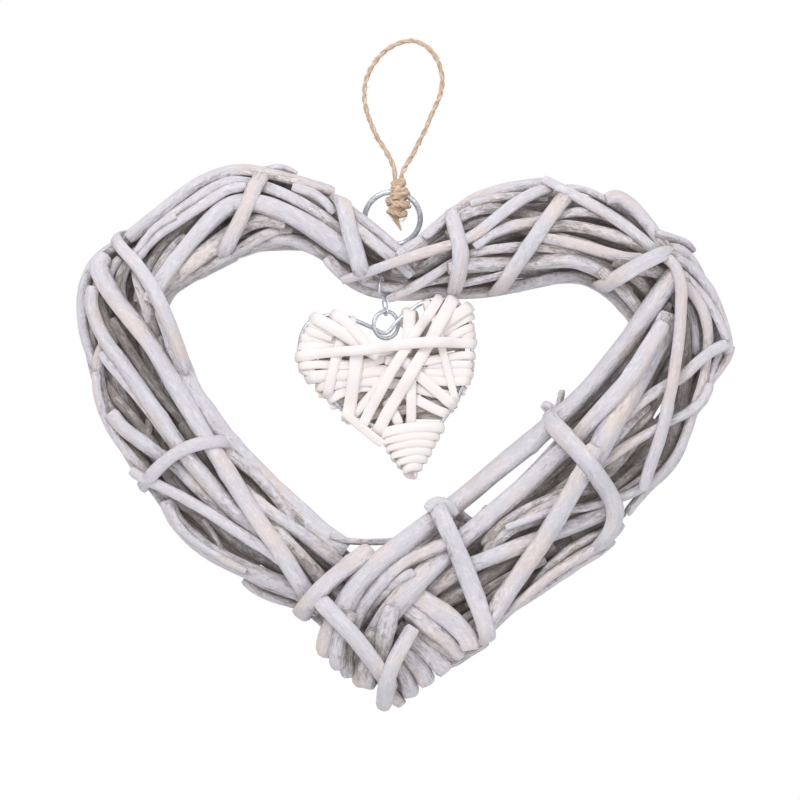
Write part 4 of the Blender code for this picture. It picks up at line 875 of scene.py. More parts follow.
def put_numbers(mesh, name, values):
    """Stores one number at each corner of a mesh."""
    mesh.attributes.new(name, "FLOAT", "POINT").data.foreach_set("value", np.asarray(values, np.float32))


def put_vectors(mesh, name, values):
    """Stores a vector at each corner of a mesh."""
    made = mesh.attributes.new(name, "FLOAT_VECTOR", "POINT")
    made.data.foreach_set("vector", np.asarray(values, np.float32).ravel())


def wander(run, rng, shortest, longest, waves=5):
    """A smooth random line between about -1 and 1 along a rod."""
    total = np.zeros(len(run))
    for _ in range(waves):
        length = rng.uniform(shortest, longest)
        total += np.cos(run * (2 * math.pi / length) + rng.uniform(0, 2 * math.pi)) * rng.uniform(0.5, 1.0)
    return total / (0.62 * waves)


@dataclass(eq=False)
class Rod:
    """A willow rod with its own section, bumps and grain. Its line's fourth column is half its width."""
    name: str
    line: np.ndarray
    seed: int
    replaces: tuple
    tone: float
    thickness: float
    facing: np.ndarray

    def section(self, run, angles, rng):
        """How far out the rod's surface is at each corner of each ring, as a share of its half width."""
        drift = FACETS_TURN * wander(run, rng, 0.08, 0.30)[:, None]
        total = 0.0
        for facet in range(ROD_FACETS):
            bearing = 2 * math.pi * (facet + rng.uniform(-FACET_SHIFT, FACET_SHIFT)) / ROD_FACETS + drift
            bearing = bearing + FACET_TURN * wander(run, rng, 0.03, 0.12)[:, None]
            reach = rng.uniform(*FACET_REACH) * (1 + FACET_WANDER * wander(run, rng, 0.02, 0.09)[:, None])
            total = total + np.clip(np.cos(angles - bearing) / reach, 0.0, None) ** FACET_SHARPNESS
        reach = total ** (-1 / FACET_SHARPNESS)
        reach *= SECTION_SCALE
        for waves in RIDGES:
            phase = rng.uniform(0, 2 * math.pi) + 1.3 * wander(run, rng, 0.02, 0.10)[:, None]
            reach += RIDGE_HEIGHT * np.cos(waves * angles + phase)
        place = rng.uniform(0.2, 1.0) * NODE_SPACING[0]
        while place < run[-1]:
            beside = np.exp(-((run - place) / NODE_LENGTH) ** 2)[:, None]
            bearing = rng.uniform(0, 2 * math.pi)
            knob = np.exp(KNOB_SHARPNESS * (np.cos(angles - bearing) - 1))
            reach += beside * (NODE_SWELLING + KNOB_SWELLING * knob)
            place += rng.uniform(*NODE_SPACING)
        return reach

    def shape(self):
        """Makes the rod's rings of points and its grain."""
        rng = np.random.default_rng(self.seed)
        middles = self.line[:, :3]
        run = run_of(middles)
        ahead = unit(np.gradient(middles, axis=0))
        upward = self.facing - ahead * np.sum(self.facing * ahead, axis=1)[:, None]
        for _ in range(6):
            upward = unit(eased(upward))
        upward = unit(upward - ahead * np.sum(upward * ahead, axis=1)[:, None])
        across = np.cross(upward, ahead)
        radius = self.line[:, 3] * (1 + WIDTH_WANDER * wander(run, rng, 0.018, 0.070))
        angles = np.linspace(0, 2 * math.pi, ROD_SIDES, endpoint=False)[None, :]
        radius = radius[:, None] * self.section(run, angles, rng)
        to_end = np.minimum(run, run[-1] - run)
        radius *= (1 - END_NARROWING * np.clip(1 - to_end / END_LENGTH, 0, 1) ** 2)[:, None]
        thin = self.thickness * (1 + THICKNESS_WANDER * wander(run, rng, 0.03, 0.12))[:, None]
        self.rings = (middles[:, None] + across[:, None] * (radius * np.cos(angles))[..., None]
                      + upward[:, None] * (radius * thin * np.sin(angles))[..., None])
        offset = rng.uniform(0, 10)
        wide = np.broadcast_to(radius.mean(axis=1)[:, None], radius.shape)
        self.grain = np.stack([wide * np.cos(angles), wide * np.sin(angles),
                               np.broadcast_to(run[:, None] + offset, radius.shape)], axis=-1)

    def corners(self, per_ring):
        """Numbers at the rings' corners, followed by those of the two ends' middles."""
        flat = per_ring.reshape(len(self.rings) * ROD_SIDES, -1)
        ends = np.array([per_ring[place].reshape(ROD_SIDES, -1).mean(axis=0) for place in (0, -1)])
        return np.vstack([flat, ends])


def nearest_middle(line):
    """The number of the middle line's nearest point to each point of a line, and the way out from there."""
    gap = (line[:, :1] - HEART_LINE[:, 0]) ** 2 + (line[:, 2:3] - HEART_LINE[:, 1]) ** 2
    near = gap.argmin(axis=1)
    middles = np.column_stack([HEART_LINE[near, 0], np.zeros(len(line)), HEART_LINE[near, 1]])
    return near, line[:, :3] - middles


def on_outward_side(near, out):
    """Whether each point is on the outward side of the wreath's middle line."""
    way = HEART_LINE[np.minimum(near + 3, len(HEART_LINE) - 1)] - HEART_LINE[np.maximum(near - 3, 0)]
    return way[:, 0] * out[:, 2] > way[:, 1] * out[:, 0]


def station_of(place):
    """Where a point is along the wreath, and which side it is on: 1 outward, -1 inward."""
    near, out = nearest_middle(np.array([place], float))
    return HEART_STATIONS[near[0]], 1 if on_outward_side(near, out)[0] else -1


def fullness(line):
    """How far forward the bundle's surface is at each point, as a share of its half depth."""
    near, out = nearest_middle(line)
    outward, inward = [np.interp(HEART_STATIONS[near], *zip(*table)) for table in (OUTWARD, INWARD)]
    reach = BUNDLE_HALF_WIDTH * np.where(on_outward_side(near, out), outward, inward) * BUNDLE_MARGIN
    return np.sqrt(np.clip(1 - (np.hypot(out[:, 0], out[:, 2]) / reach) ** 2, LEAST_FULLNESS, 1.0))


def settle(least, rounds):
    """Even depths that stay at or above the least depth at each place, but for a last light evening out."""
    depth = least
    for _ in range(rounds):
        depth = np.maximum(least, eased(depth, True))
    for _ in range(rounds // 6):
        depth = eased(depth, True)
    return depth


class Pile:
    """The rods laid so far: places, half widths and half thicknesses."""

    def __init__(self):
        self.rows = np.zeros((0, 5))

    def add(self, line, thickness):
        """Puts a line on the pile."""
        self.rows = np.vstack([self.rows, np.column_stack([line[:, :4], line[:, 3] * thickness])])

    def contact(self, line, thickness, sign):
        """The depth at which each point of a line touches the pile, from the front or from behind."""
        gap = np.hypot(line[:, 0][:, None] - self.rows[:, 0], line[:, 2][:, None] - self.rows[:, 2])
        reach = line[:, 3][:, None] + self.rows[:, 3]
        share = np.clip(1 - (gap / reach) ** 2, 0.0, 1.0)
        needed = ((line[:, 3][:, None] * thickness + self.rows[:, 4]) * SINKING
                  * ((1 + ARCH) * np.sqrt(share) - ARCH))
        depth = np.where(share > 0, self.rows[:, 1] * sign + needed, -1.0)
        return depth.max(axis=1, initial=-1.0)

    def rest(self, line, thickness, sign, least, rounds, limit):
        """Sets a line's depths so that it rests on the pile, from the front (-1) or from behind (1)."""
        depth = np.maximum(least, self.contact(line, thickness, sign))
        line[:, 1] = sign * np.minimum(settle(depth, rounds), limit)


def traced(route, start_width, end_width):
    """A line in the wreath's plane through pixels of the photograph. Its fourth column is half its width."""
    widths = np.interp(np.linspace(0, 1, len(route)), [0, 1], [start_width, end_width]) * PIXEL / 2
    return smooth([at(*point) + (width,) for point, width in zip(route, widths)], ROD_STEP)


def in_view(line):
    """The line again, moved so that the camera sees it at its pixels in spite of its depth."""
    moved = line.copy()
    share = (VIEW_DISTANCE + line[:, 1]) / VIEW_DISTANCE
    for axis, middle in ((0, VIEW_MIDDLE[0]), (2, VIEW_MIDDLE[1])):
        moved[:, axis] = middle + (line[:, axis] - middle) * share
    return moved


def facing_of(line, lean, sign=-1.0):
    """The way each point's flat side looks: forward (-1) or back (1), and somewhat outward."""
    _, out = nearest_middle(line)
    return unit(np.array([0.0, sign, 0.0]) * (1 - lean) + unit(out) * lean)


def front_rods(pile):
    """The rods that the photograph shows, laid on each other from the deepest to the topmost."""
    rods = []
    for number, (name, solid, start_width, end_width, share, tone, route) in enumerate(FRONT_RODS):
        line = traced(route, start_width, end_width)
        least = share * BUNDLE_HALF_DEPTH * fullness(line) - line[:, 3] * ROD_THICKNESS
        pile.rest(line, ROD_THICKNESS, -1, least, ROD_ROUNDS, FRONT_LIMIT)
        pile.add(line, ROD_THICKNESS)
        line = in_view(line)
        rods.append(Rod(name, line, SEEDS["front"] + number, (solid,) if solid else (), tone, ROD_THICKNESS,
                        facing_of(line, ROD_LEAN)))
    return rods


def inside(places, outline):
    """Whether each point, seen from the front, is inside an outline."""
    within = np.zeros(len(places), bool)
    for (x0, z0), (x1, z1) in zip(outline, outline[1:] + outline[:1]):
        crosses = (z0 > places[:, 2]) != (z1 > places[:, 2])
        within ^= crosses & (places[:, 0] < (x1 - x0) * (places[:, 2] - z0) / (z1 - z0 + 1e-12) + x0)
    return within


def outside_openings(line):
    """The stretches of a line that leave the openings free."""
    free = np.ones(len(line), bool)
    angles = np.linspace(0, 2 * math.pi, 8, endpoint=False)
    for opening in OPENINGS:
        outline = [at(*point)[::2] for point in opening]
        for angle in angles:
            way = np.array([math.cos(angle), 0.0, math.sin(angle)])
            free &= ~inside(line[:, :3] + line[:, 3:4] * OPENING_ROOM * way, outline)
    marks = np.flatnonzero(np.diff(np.concatenate([[False], free, [False]]).astype(int)))
    return [line[start:end] for start, end in zip(marks[::2], marks[1::2])
            if end - start >= SHORTEST_PART]


def cut_at_openings(pile, line, name, seed, tone, lean, sign=-1.0):
    """Rods along a line where it leaves the openings free."""
    rods = []
    for number, part in enumerate(outside_openings(line)):
        pile.add(part, ROD_THICKNESS)
        rods.append(Rod(f"{name}_{number + 1}", part, seed, (), tone, ROD_THICKNESS,
                        facing_of(part, lean, sign)))
    return rods


def solid_rods(pile):
    """A fine rod on the line of each back rod's solid."""
    rods = []
    for number, name in enumerate(SHADED):
        line = smooth(solid_line(name), ROD_STEP)
        pile.add(line, 1.0)
        rods.append(Rod(name + "_willow", line, SEEDS["solid"] + number, (name,), SHADED_TONE,
                        BACK_ROD_THICKNESS, facing_of(line, BACK_ROD_LEAN, 1.0)))
    return rods


def back_rods(pile):
    """Rods on the back, which the photograph doesn't show: they run along the bundle as the front ones do."""
    rods = []
    rng = np.random.default_rng(LAYOUT_SEEDS["behind"])
    for way, half in ((-1, "left"), (1, "right")):
        for number in range(BACK_RODS):
            start = 2 + BACK_SPREAD * (number % 4) / 3 + rng.uniform(-BACK_SHIFT, BACK_SHIFT)
            long = rng.uniform(*BACK_LENGTHS)
            turn = rng.uniform(*BACK_ANGLES)
            drift = rng.uniform(-BACK_TURN, BACK_TURN)
            width = rng.uniform(*BACK_WIDTHS)
            places = []
            for share in np.linspace(0, 1, 9):
                place = side(way * min(start + long * share, 99),
                             np.clip(turn + drift * share, *BACK_EDGES) * way, BACK_LIFT)
                places.append(place + (width * PIXEL / 2,))
            line = smooth(places, ROD_STEP)
            pile.rest(line, ROD_THICKNESS, 1, line[:, 1], ROD_ROUNDS, BACK_LIMIT)
            rods += cut_at_openings(pile, line, f"{half}_behind_{number + 1}",
                                    SEEDS["behind"] + 40 * (way > 0) + number, BACK_TONE, ROD_LEAN, 1.0)
    return rods


def bindings(pile):
    """Rods wound round the bundle, pulled tight over the rods already laid."""
    rods = []
    for number, (name, solid, width, tone, reach, route) in enumerate(BINDINGS):
        half = width * PIXEL / 2
        front = traced(route, width, width)
        start, start_side = station_of(front[0, :3])
        end, end_side = station_of(front[-1, :3])
        slip = float(np.clip(end - start, -BINDING_SLIP, BINDING_SLIP))
        before = [side(start - SLIP_BEFORE * slip * share, start_side * (90 + TURN_BEFORE * share),
                       BINDING_LIFT) for share in (1, 0.66, 0.33)]
        after = [side(end + slip * share * reach, end_side * (90 + 180 * share * reach), BINDING_LIFT)
                 for share in (0.14, 0.3, 0.5, 0.7, 0.85, 1)]
        before, after = [smooth([tuple(place) + (half,) for place in places], ROD_STEP)
                         for places in (before, after)]
        for line, sign, limit in ((before, 1, BACK_LIMIT), (front, -1, FRONT_LIMIT), (after, 1, BACK_LIMIT)):
            pile.rest(line, BINDING_THICKNESS, sign, BINDING_DEPTH * BUNDLE_HALF_DEPTH * fullness(line),
                      BINDING_ROUNDS, limit + BINDING_ROOM)
        for place in (0, -1):
            _, out = nearest_middle(front[[place]])
            front[place, :3] += unit(out[0] * (1, 0, 1)) * half * 0.5
        whole = np.vstack([before, front[::2], after])
        for _ in range(3):
            whole = eased(whole)
        whole = smooth(whole[::2], ROD_STEP)
        whole[:, 3] = half
        pile.add(whole, BINDING_THICKNESS)
        whole = in_view(whole)
        rods.append(Rod(name, whole, SEEDS["binding"] + number, (solid,), tone, BINDING_THICKNESS,
                        facing_of(whole, BINDING_LEAN)))
    return rods


def core_rods(pile):
    """Rods inside the bundle, dull with painted shade, which close it between the front rods and the back
    ones.
    """
    rods = []
    rng = np.random.default_rng(LAYOUT_SEEDS["core"])
    stations = np.linspace(1, 99, 24)
    for way, half in ((-1, "left"), (1, "right")):
        for number, aside in enumerate(CORE_PLACES):
            drift = rng.uniform(-CORE_DRIFT, CORE_DRIFT, CORE_DRIFTS)
            depth = rng.uniform(*CORE_DEPTHS)
            shifts = np.interp(stations, np.linspace(0, 100, CORE_DRIFTS), drift)
            places = []
            for station, shift in zip(stations, shifts):
                outer, inner = [Vector(side(way * station, angle)) for angle in (90, -90)]
                middle = 0.5 * (outer + inner)
                place = middle + ((outer if aside > 0 else inner) - middle) * (abs(aside) + shift)
                places.append((place.x, depth, place.z, rng.uniform(*CORE_WIDTHS) * PIXEL / 2))
            rods += cut_at_openings(pile, smooth(places, ROD_STEP), f"{half}_core_{number + 1}",
                                    SEEDS["core"] + 50 * (way > 0) + number, CORE_TONE, CORE_LEAN)
    return rods


def hidden_from(tree, place, normal, spin, local, heights):
    """How much of the sky one point of a surface doesn't see."""
    aside = unit(np.cross(normal, (0.3, 0.5, 0.8)))
    other = np.cross(normal, aside)
    cos, sin = math.cos(spin), math.sin(spin)
    aside, other = aside * cos + other * sin, other * cos - aside * sin
    ways = local[:, :1] * aside + local[:, 1:2] * other + local[:, 2:] * normal
    start = Vector(place + normal * SKY_START)
    total = 0.0
    for way, height in zip(ways, heights):
        gap = tree.ray_cast(start, Vector(way), SKY_REACH)[3]
        if gap is not None:
            total += height * (1 - gap / SKY_FADE)
    return total / heights.sum()


def hidden_share(rods):
    """How much of the sky each ring corner of the rods doesn't see."""
    every_ring, every_corner = SKY_EVERY
    corners, faces, count = [], [], 0
    for rod in rods:
        faces.append(quads_of(*rod.rings.shape[:2]) + count)
        corners.append(rod.rings.reshape(-1, 3))
        count += len(corners[-1])
    tree = BVHTree.FromPolygons(np.vstack(corners).tolist(), np.vstack(faces).tolist())
    rng = np.random.default_rng(LAYOUT_SEEDS["sky"])
    heights = (np.arange(SKY_RAYS) + 0.5) / SKY_RAYS
    turns = math.pi * (3 - math.sqrt(5)) * np.arange(SKY_RAYS)
    flat = np.sqrt(1 - heights ** 2)
    local = np.column_stack([flat * np.cos(turns), flat * np.sin(turns), heights])
    for rod in rods:
        coarse = rod.rings[::every_ring, ::every_corner]
        outward = unit(coarse - rod.line[::every_ring, None, :3])
        hidden = np.array([[hidden_from(tree, place, normal, rng.uniform(0, 2 * math.pi), local, heights)
                            for place, normal in zip(*pair)] for pair in zip(coarse, outward)])
        smoothed = eased((hidden + np.roll(hidden, 1, axis=1) + np.roll(hidden, -1, axis=1)) / 3)
        rows, marks = np.arange(len(rod.rings)) / every_ring, np.arange(len(smoothed))
        rod.hidden = np.empty((len(rod.rings), ROD_SIDES))
        for column in range(smoothed.shape[1]):
            rod.hidden[:, every_corner * column] = np.interp(rows, marks, smoothed[:, column])
        known = rod.hidden[:, ::every_corner]
        rod.hidden[:, 1::every_corner] = (known + np.roll(known, -1, axis=1)) / 2


def make_rods(rods, material, paint_and_painted_shade, slot):
    """Shapes rods and makes a piece of each, with thinner paint and painted shade where the sky doesn't
    reach.
    """
    for rod in rods:
        rod.shape()
    hidden_share(rods)
    for rod in rods:
        mesh = skin(rod.name, rod.rings)
        put_vectors(mesh, "grain", rod.corners(rod.grain))
        # Less paint where the sky is hidden: painted shade, partly real thinner whitewash
        left = rod.corners(paint_and_painted_shade[0] - paint_and_painted_shade[1] * rod.hidden)[:, 0]
        if slot == "cream_willow":
            put_numbers(mesh, "paint_and_painted_shade", left + rod.tone)
        else:
            put_numbers(mesh, "paint_and_painted_shade", left)
            put_numbers(mesh, "tone", np.full(len(left), rod.tone))
        make_piece(rod.name, mesh, material, rod.replaces)


def make_willow(material):
    """All willow rods of the wreath, laid from the inside out."""
    pile = Pile()
    rods = []
    for lay in (solid_rods, core_rods, front_rods, back_rods, bindings):
        rods += lay(pile)
    make_rods(rods, material, ROD_PAINT_AND_SHADE, "whitewashed_willow")


# The small heart

def on_heart(across, down, behind=0.0):
    """A point on the small heart that the photograph shows at a pixel, a little lower than there."""
    place = at(across, down)
    return place[0], HEART_RING_PLACE[1] + behind, place[2] - HEART_DROP


def turned_round(end, beside, angle, sign):
    """A strip's route from its end on the small heart round the wire and a little way over its other face."""
    end = np.array(end)
    out = unit(end[:3] - np.array(beside[:3])) * (1.0, 0.0, 1.0)
    end[:3] -= out * WRAP_INSET
    half = (end[3],)
    around = []
    for share in (0.35, 0.75, 1.0):
        place = end[:3] + out * WRAP_BULGE * math.sin(share * math.pi * 0.6)
        facing = out * math.sin(share * math.pi) + np.array((0, sign, 0)) * math.cos(share * math.pi)
        around.append(tuple(place + np.array((0, -sign * WRAP_THICKNESS * share, 0))) + half + tuple(facing))
    cos, sin = math.cos(angle), math.sin(angle)
    inward = -np.array((out[0] * cos - out[2] * sin, 0.0, out[0] * sin + out[2] * cos))
    for far in WRAP_LENGTHS:
        place = end[:3] + inward * far + np.array((0, -sign * WRAP_BEHIND, 0))
        around.append(tuple(place) + half + (0.0, -sign, 0.0))
    return around


def strip_route(route, width, wrap_start, wrap_end, sign, first_turn=0.0, last_turn=0.0):
    """A strip's route over the heart and round its wire, with half its width and where its face looks."""
    rows = [on_heart(*point) + (width * PIXEL / 2, 0.0, sign, 0.0) for point in route]
    if wrap_start:
        rows = turned_round(rows[0], rows[1], first_turn, sign)[::-1] + rows[1:]
    if wrap_end:
        rows = rows[:-1] + turned_round(rows[-1], rows[-2], last_turn, sign)
    return smooth(rows, STRIP_STEP)


def heart_strips():
    """All strips of the small heart, the back ones first."""
    rng = np.random.default_rng(LAYOUT_SEEDS["strips"])
    strips = []
    plane = HEART_RING_PLACE[1]
    pile = Pile()
    for number, points in enumerate(HEART_BACKS):
        route = strip_route(points, rng.uniform(*BACK_STRIP_WIDTHS), 0, 0, 1.0)
        line = route[:, :4]
        pile.rest(line, STRIP_THICKNESS, 1, BACK_STRIP_LEVEL, BACK_STRIP_ROUNDS, BACK_STRIP_LIMIT)
        pile.add(line, STRIP_THICKNESS)
        line[:, 1] += plane
        strips.append(Rod(f"heart_back_{number + 1}", line, SEEDS["heart_back"] + number, (),
                          BACK_STRIP_TONE, STRIP_THICKNESS, route[:, 4:]))
    pile = Pile()
    for number, (name, solid, width, tone, wrap_start, wrap_end, points) in enumerate(HEART_STRIPS):
        turns = rng.uniform(-STRIP_TURN, STRIP_TURN, 2)
        route = strip_route(points, width, wrap_start, wrap_end, -1.0, *turns)
        line = route[:, :4]
        line[:, 1] -= plane
        front = route[:, 5] < -0.5
        flat = line[front]
        pile.rest(flat, STRIP_THICKNESS, -1, STRIP_LEVEL, STRIP_ROUNDS, STRIP_LIMIT)
        pile.add(flat, STRIP_THICKNESS)
        line[front] = flat
        for _ in range(2):
            line = eased(line)
        line[:, 1] += plane
        strips.append(Rod("heart_" + name, line, SEEDS["strip"] + number, (solid,) if solid else (), tone,
                          STRIP_THICKNESS, route[:, 4:]))
    return strips


def heart_coil():
    """One long strip wound from the frame down to the small heart's tip."""
    heights, left_edge, right_edge = np.array(COIL_SHAPE, float).T
    share = np.linspace(0, 1, int(COIL_TURNS * COIL_TURN_POINTS))
    angle = share * COIL_TURNS * 2 * math.pi + math.pi
    down = heights[0] + COIL_START + share * (heights[-1] - heights[0] - COIL_START)
    left, right = np.interp(down, heights, left_edge), np.interp(down, heights, right_edge)
    wide = (right - left) / 2 - COIL_INSET
    across = (left + right) / 2 + wide * np.cos(angle)
    lowered = (down - COIL_SLOPES[0] * np.sin(angle) * (wide / 30) ** 0.5
               - COIL_SLOPES[1] * np.cos(angle) * (1 - share))
    behind = (COIL_DEPTH[0] + COIL_DEPTH[1] * wide) * np.sin(angle) * -PIXEL
    places = np.array([on_heart(*place) for place in zip(across, lowered, behind)])
    middle = np.array([on_heart(*place, 0) for place in zip((left + right) / 2, lowered)])
    half = np.full((len(share), 1), COIL_HALF_WIDTH * PIXEL)
    half[-COIL_TAPER:, 0] *= np.linspace(1.0, 0.7, COIL_TAPER)
    line = smooth(np.hstack([places, half, unit(places - middle)]), STRIP_STEP * 0.8)
    return Rod("heart_coil", line[:, :4], SEEDS["coil"], ("heart_tip_coil",), COIL_TONE, COIL_THICKNESS,
               line[:, 4:])


def make_heart(material):
    """The small heart's strips and coil."""
    make_rods(heart_strips() + [heart_coil()], material, STRIP_PAINT_AND_SHADE, "cream_willow")


# Wire and twine

def tube(line, radius, sides, closed=False, waves=0.0, seed=0):
    """Round rings along a line, with a slightly uneven radius."""
    across, upward = frames_of(line, closed)
    rng = np.random.default_rng(seed)
    run = run_of(line)
    total = run[-1] + (np.linalg.norm(line[0] - line[-1]) if closed else 0.0)
    radii = np.broadcast_to(radius, len(line))
    for count in (3, 5, 8, 13):
        wave = waves * rng.uniform(-1, 1)
        radii = radii * (1 + wave * np.cos(2 * math.pi * count * run / total + rng.uniform(0, 6)))
    angles = np.linspace(0, 2 * math.pi, sides, endpoint=False)
    return (line[:, None] + radii[:, None, None] * (across[:, None] * np.cos(angles)[None, :, None]
                                                    + upward[:, None] * np.sin(angles)[None, :, None]))


def ring_line(centre, radius, axis, turn, count):
    """A circle that faces the front and is then turned about an axis."""
    angles = np.linspace(0, 2 * math.pi, count, endpoint=False)
    flat = np.stack([radius * np.sin(angles), np.zeros(count), radius * np.cos(angles)], axis=-1)
    turning = np.array(Matrix.Rotation(turn, 3, axis))
    return np.array(centre) + flat @ turning.T


def frame_line():
    """The middle line of the small heart's wire, from its solid."""
    wire, _ = welded("heart_frame")
    centre = wire.mean(axis=0)
    order = np.argsort(np.arctan2(wire[:, 2] - centre[2], wire[:, 0] - centre[0]))
    rings = wire[order].reshape(-1, len(wire) // HEART_WIRE_POINTS, 3).mean(axis=1)
    return smooth(rings, 0.0010, True)


def link_line():
    """The link's line: round the small ring, twisted up with itself, and round the cleft's bottom rod."""
    link, _ = welded("wire_link")
    high = link[:, 2].max()
    top = link[link[:, 2] > high - LINK_CREST].mean(axis=0)
    top_half = (link[:, 1].max() - link[:, 1].min()) / 2 - LINK_WIRE
    ring_top = np.array(HEART_RING_PLACE) + (0, 0, HEART_RING_RADIUS)
    low_half = HEART_RING_WIRE + LINK_WIRE + 0.0002
    across = np.array((-math.sin(HEART_RING_TURN), math.cos(HEART_RING_TURN), 0.0))
    upright = np.array((0, 0, 1))
    points = [ring_top + across * low_half * math.sin(angle) - upright * low_half * math.cos(angle)
              for angle in np.linspace(-0.5, 0.5, 7) * math.pi]
    start, end = ring_top[2] + LINK_STEM, high - LINK_WIRE - 2.1 * top_half
    twisted = []
    for share in np.linspace(0, 1, 26):
        turn = share * LINK_TWISTS * 2 * math.pi
        risen = (start + (end - start) * share - ring_top[2]) / (top[2] - ring_top[2])
        offset = LINK_REACH * (across * math.cos(turn) + np.array((1.0, 0, 0)) * math.sin(turn))
        twisted.append((ring_top + (top - ring_top) * risen, offset))
    points += [middle + offset for middle, offset in twisted]
    centre = np.array((top[0], link[:, 1].mean(), high - LINK_WIRE - top_half))
    sideways = unit(np.array((0.15, 1.0, 0.0)))
    flip = 1.0 if twisted[-1][1] @ sideways > 0 else -1.0
    points += [centre + sideways * flip * top_half * math.sin(angle) + upright * top_half * math.cos(angle)
               for angle in np.linspace(0.62, -0.62, 13) * math.pi]
    points += [middle - offset for middle, offset in twisted[::-1]]
    return smooth(points, LINK_STEP, True)


def make_wires(material):
    """The two rings, the small heart's wire and the twisted link."""
    large = ring_line(RING_PLACE, RING_RADIUS, "X", RING_TILT, 120)
    small = ring_line(HEART_RING_PLACE, HEART_RING_RADIUS, "Z", HEART_RING_TURN, 80)
    for name, solid, line, radius, sides, waves, seed in (
            ("hanging_ring_wire", "hanging_ring", large, RING_WIRE, 20, 0.012, 3),
            ("small_ring_wire", "small_heart_ring", small, HEART_RING_WIRE, 16, 0.02, 4),
            ("heart_wire", "heart_frame", frame_line(), HEART_WIRE, 12, 0.02, 5),
            ("twisted_link", "wire_link", link_line(), LINK_WIRE, 10, 0.02, 6)):
        mesh = skin(name, tube(line, radius, sides, True, waves, seed), True)
        make_piece(name, mesh, material, (solid,))


def ply_strands(line, radius, twists, plies, size, sides, rng):
    """Rings of plies twisted round a line."""
    across, upward = frames_of(line)
    run = run_of(line)
    strands = []
    for ply in range(plies):
        turn = run / run[-1] * twists * 2 * math.pi + 2 * math.pi * ply / plies
        turn = turn + 0.35 * wander(run, rng, 0.012, 0.040)
        reach = (radius - size) * (1 + 0.12 * wander(run, rng, 0.006, 0.030))
        middle = line + across * (reach * np.cos(turn))[:, None] + upward * (reach * np.sin(turn))[:, None]
        thick = size * (1 + 0.13 * wander(run, rng, 0.005, 0.025))
        own_across, own_upward = frames_of(middle)
        angles = np.linspace(0, 2 * math.pi, sides, endpoint=False)
        shift = 9 * wander(run, rng, 0.01, 0.05)[:, None]
        lumpy = thick[:, None] * (1 + 0.07 * np.cos(3 * angles[None, :] + shift))
        rings = (middle[:, None] + own_across[:, None] * (lumpy * np.cos(angles))[..., None]
                 + own_upward[:, None] * (lumpy * np.sin(angles))[..., None])
        grain = np.stack([lumpy * np.cos(angles), lumpy * np.sin(angles),
                          np.broadcast_to(run[:, None] + 3.1 * ply, lumpy.shape)], axis=-1)
        strands.append((rings, grain))
    return strands


def fibre(start, way, length, rng):
    """A fine hair that leaves the twine and bends back towards it. Its places serve as its grain too."""
    aside = unit(np.cross(way, rng.normal(size=3)))
    shares = np.linspace(0, 1, 7)
    line = np.array([start + way * length * share + aside * length * HAIR_BEND * share ** 2
                     for share in shares])
    rings = tube(line, HAIR_RADIUS * np.linspace(1.0, 0.35, 7), 5)
    return rings, rings


def bundle_mesh(name, parts):
    """One mesh of several closed tubes, with their grain."""
    corners, faces, grains = [], [], []
    count = 0
    for rings, grain in parts:
        made = skin(name, rings)
        corners.append(np.array([corner.co for corner in made.vertices]))
        faces += [tuple(count + corner for corner in face.vertices) for face in made.polygons]
        grains.append(np.vstack([grain.reshape(-1, 3), grain[0].mean(axis=0), grain[-1].mean(axis=0)]))
        count += len(made.vertices)
        bpy.data.meshes.remove(made)
    mesh = bpy.data.meshes.new(name)
    mesh.from_pydata(np.vstack(corners).tolist(), [], faces)
    mesh.polygons.foreach_set("use_smooth", [True] * len(mesh.polygons))
    put_vectors(mesh, "grain", np.vstack(grains))
    return mesh


def knot_strands(x, front, rng):
    """The knot's core, its wraps and its frayed tail."""
    low = KNOT_TOP - KNOT_HEIGHT
    neck = [(x - 0.0005, front, KNOT_TOP + 0.0002), (x + 0.0001, front - 0.0003, KNOT_TOP - 0.004),
            (x - 0.0002, front, KNOT_TOP - 0.009), (x, front, low - 0.001)]
    strands = ply_strands(smooth(neck, KNOT_STEP), *KNOT_CORE, rng)
    for drop, reach, deep, slant, phase in KNOT_WRAPS:
        turn = np.linspace(0, 2 * math.pi * 1.06, 34) + phase
        height = KNOT_TOP - drop + slant * np.cos(turn + 0.5) - 0.0008 * (turn - phase) / 6.28
        ring = np.column_stack([x + reach * np.cos(turn), front + deep * np.sin(turn), height])
        strands += ply_strands(smooth(ring, KNOT_STEP), *KNOT_WRAP, rng)
    for bend, far in TAIL_STRANDS:
        tail = [(x - 0.0012 + 0.0009 * bend, front - 0.0006 * bend, low + 0.0016),
                (x - 0.0014 + 0.0008 * bend, front - 0.0004, low - 0.0018 * far),
                (x - 0.0004 + 0.0002 * bend, front, low - 0.0040 * far),
                (x + 0.0012 - 0.0003 * bend, front + 0.0003 * bend, low - KNOT_TAIL * far)]
        line = smooth(tail, TAIL_STEP)
        run = run_of(line)
        uneven = 1 + 0.08 * wander(run, rng, 0.002, 0.006)
        thick = TAIL_RADIUS * np.linspace(1.0, 0.30, len(line)) * uneven
        rings = tube(line, thick, 9)
        strands.append((rings, rings - line[:, None] + np.array((0, 0, 1)) * run[:, None, None]))
    return strands


def knot_hairs(x, front, rng):
    """Fine hairs all round the knot."""
    hairs = []
    for _ in range(KNOT_HAIRS):
        turn, fall = rng.uniform(0, 2 * math.pi), rng.uniform(0.0005, KNOT_HEIGHT + 0.5 * KNOT_TAIL)
        wide = np.interp(fall, KNOT_FALL, KNOT_WIDTHS)
        out = np.array((math.cos(turn), math.sin(turn), rng.uniform(-0.6, 0.4)))
        start = np.array((x, front, KNOT_TOP - fall)) + out * (1, 1, 0) * wide
        hairs.append(fibre(start, unit(out + rng.normal(size=3) * 0.7), rng.uniform(0.0008, 0.0022), rng))
    return hairs


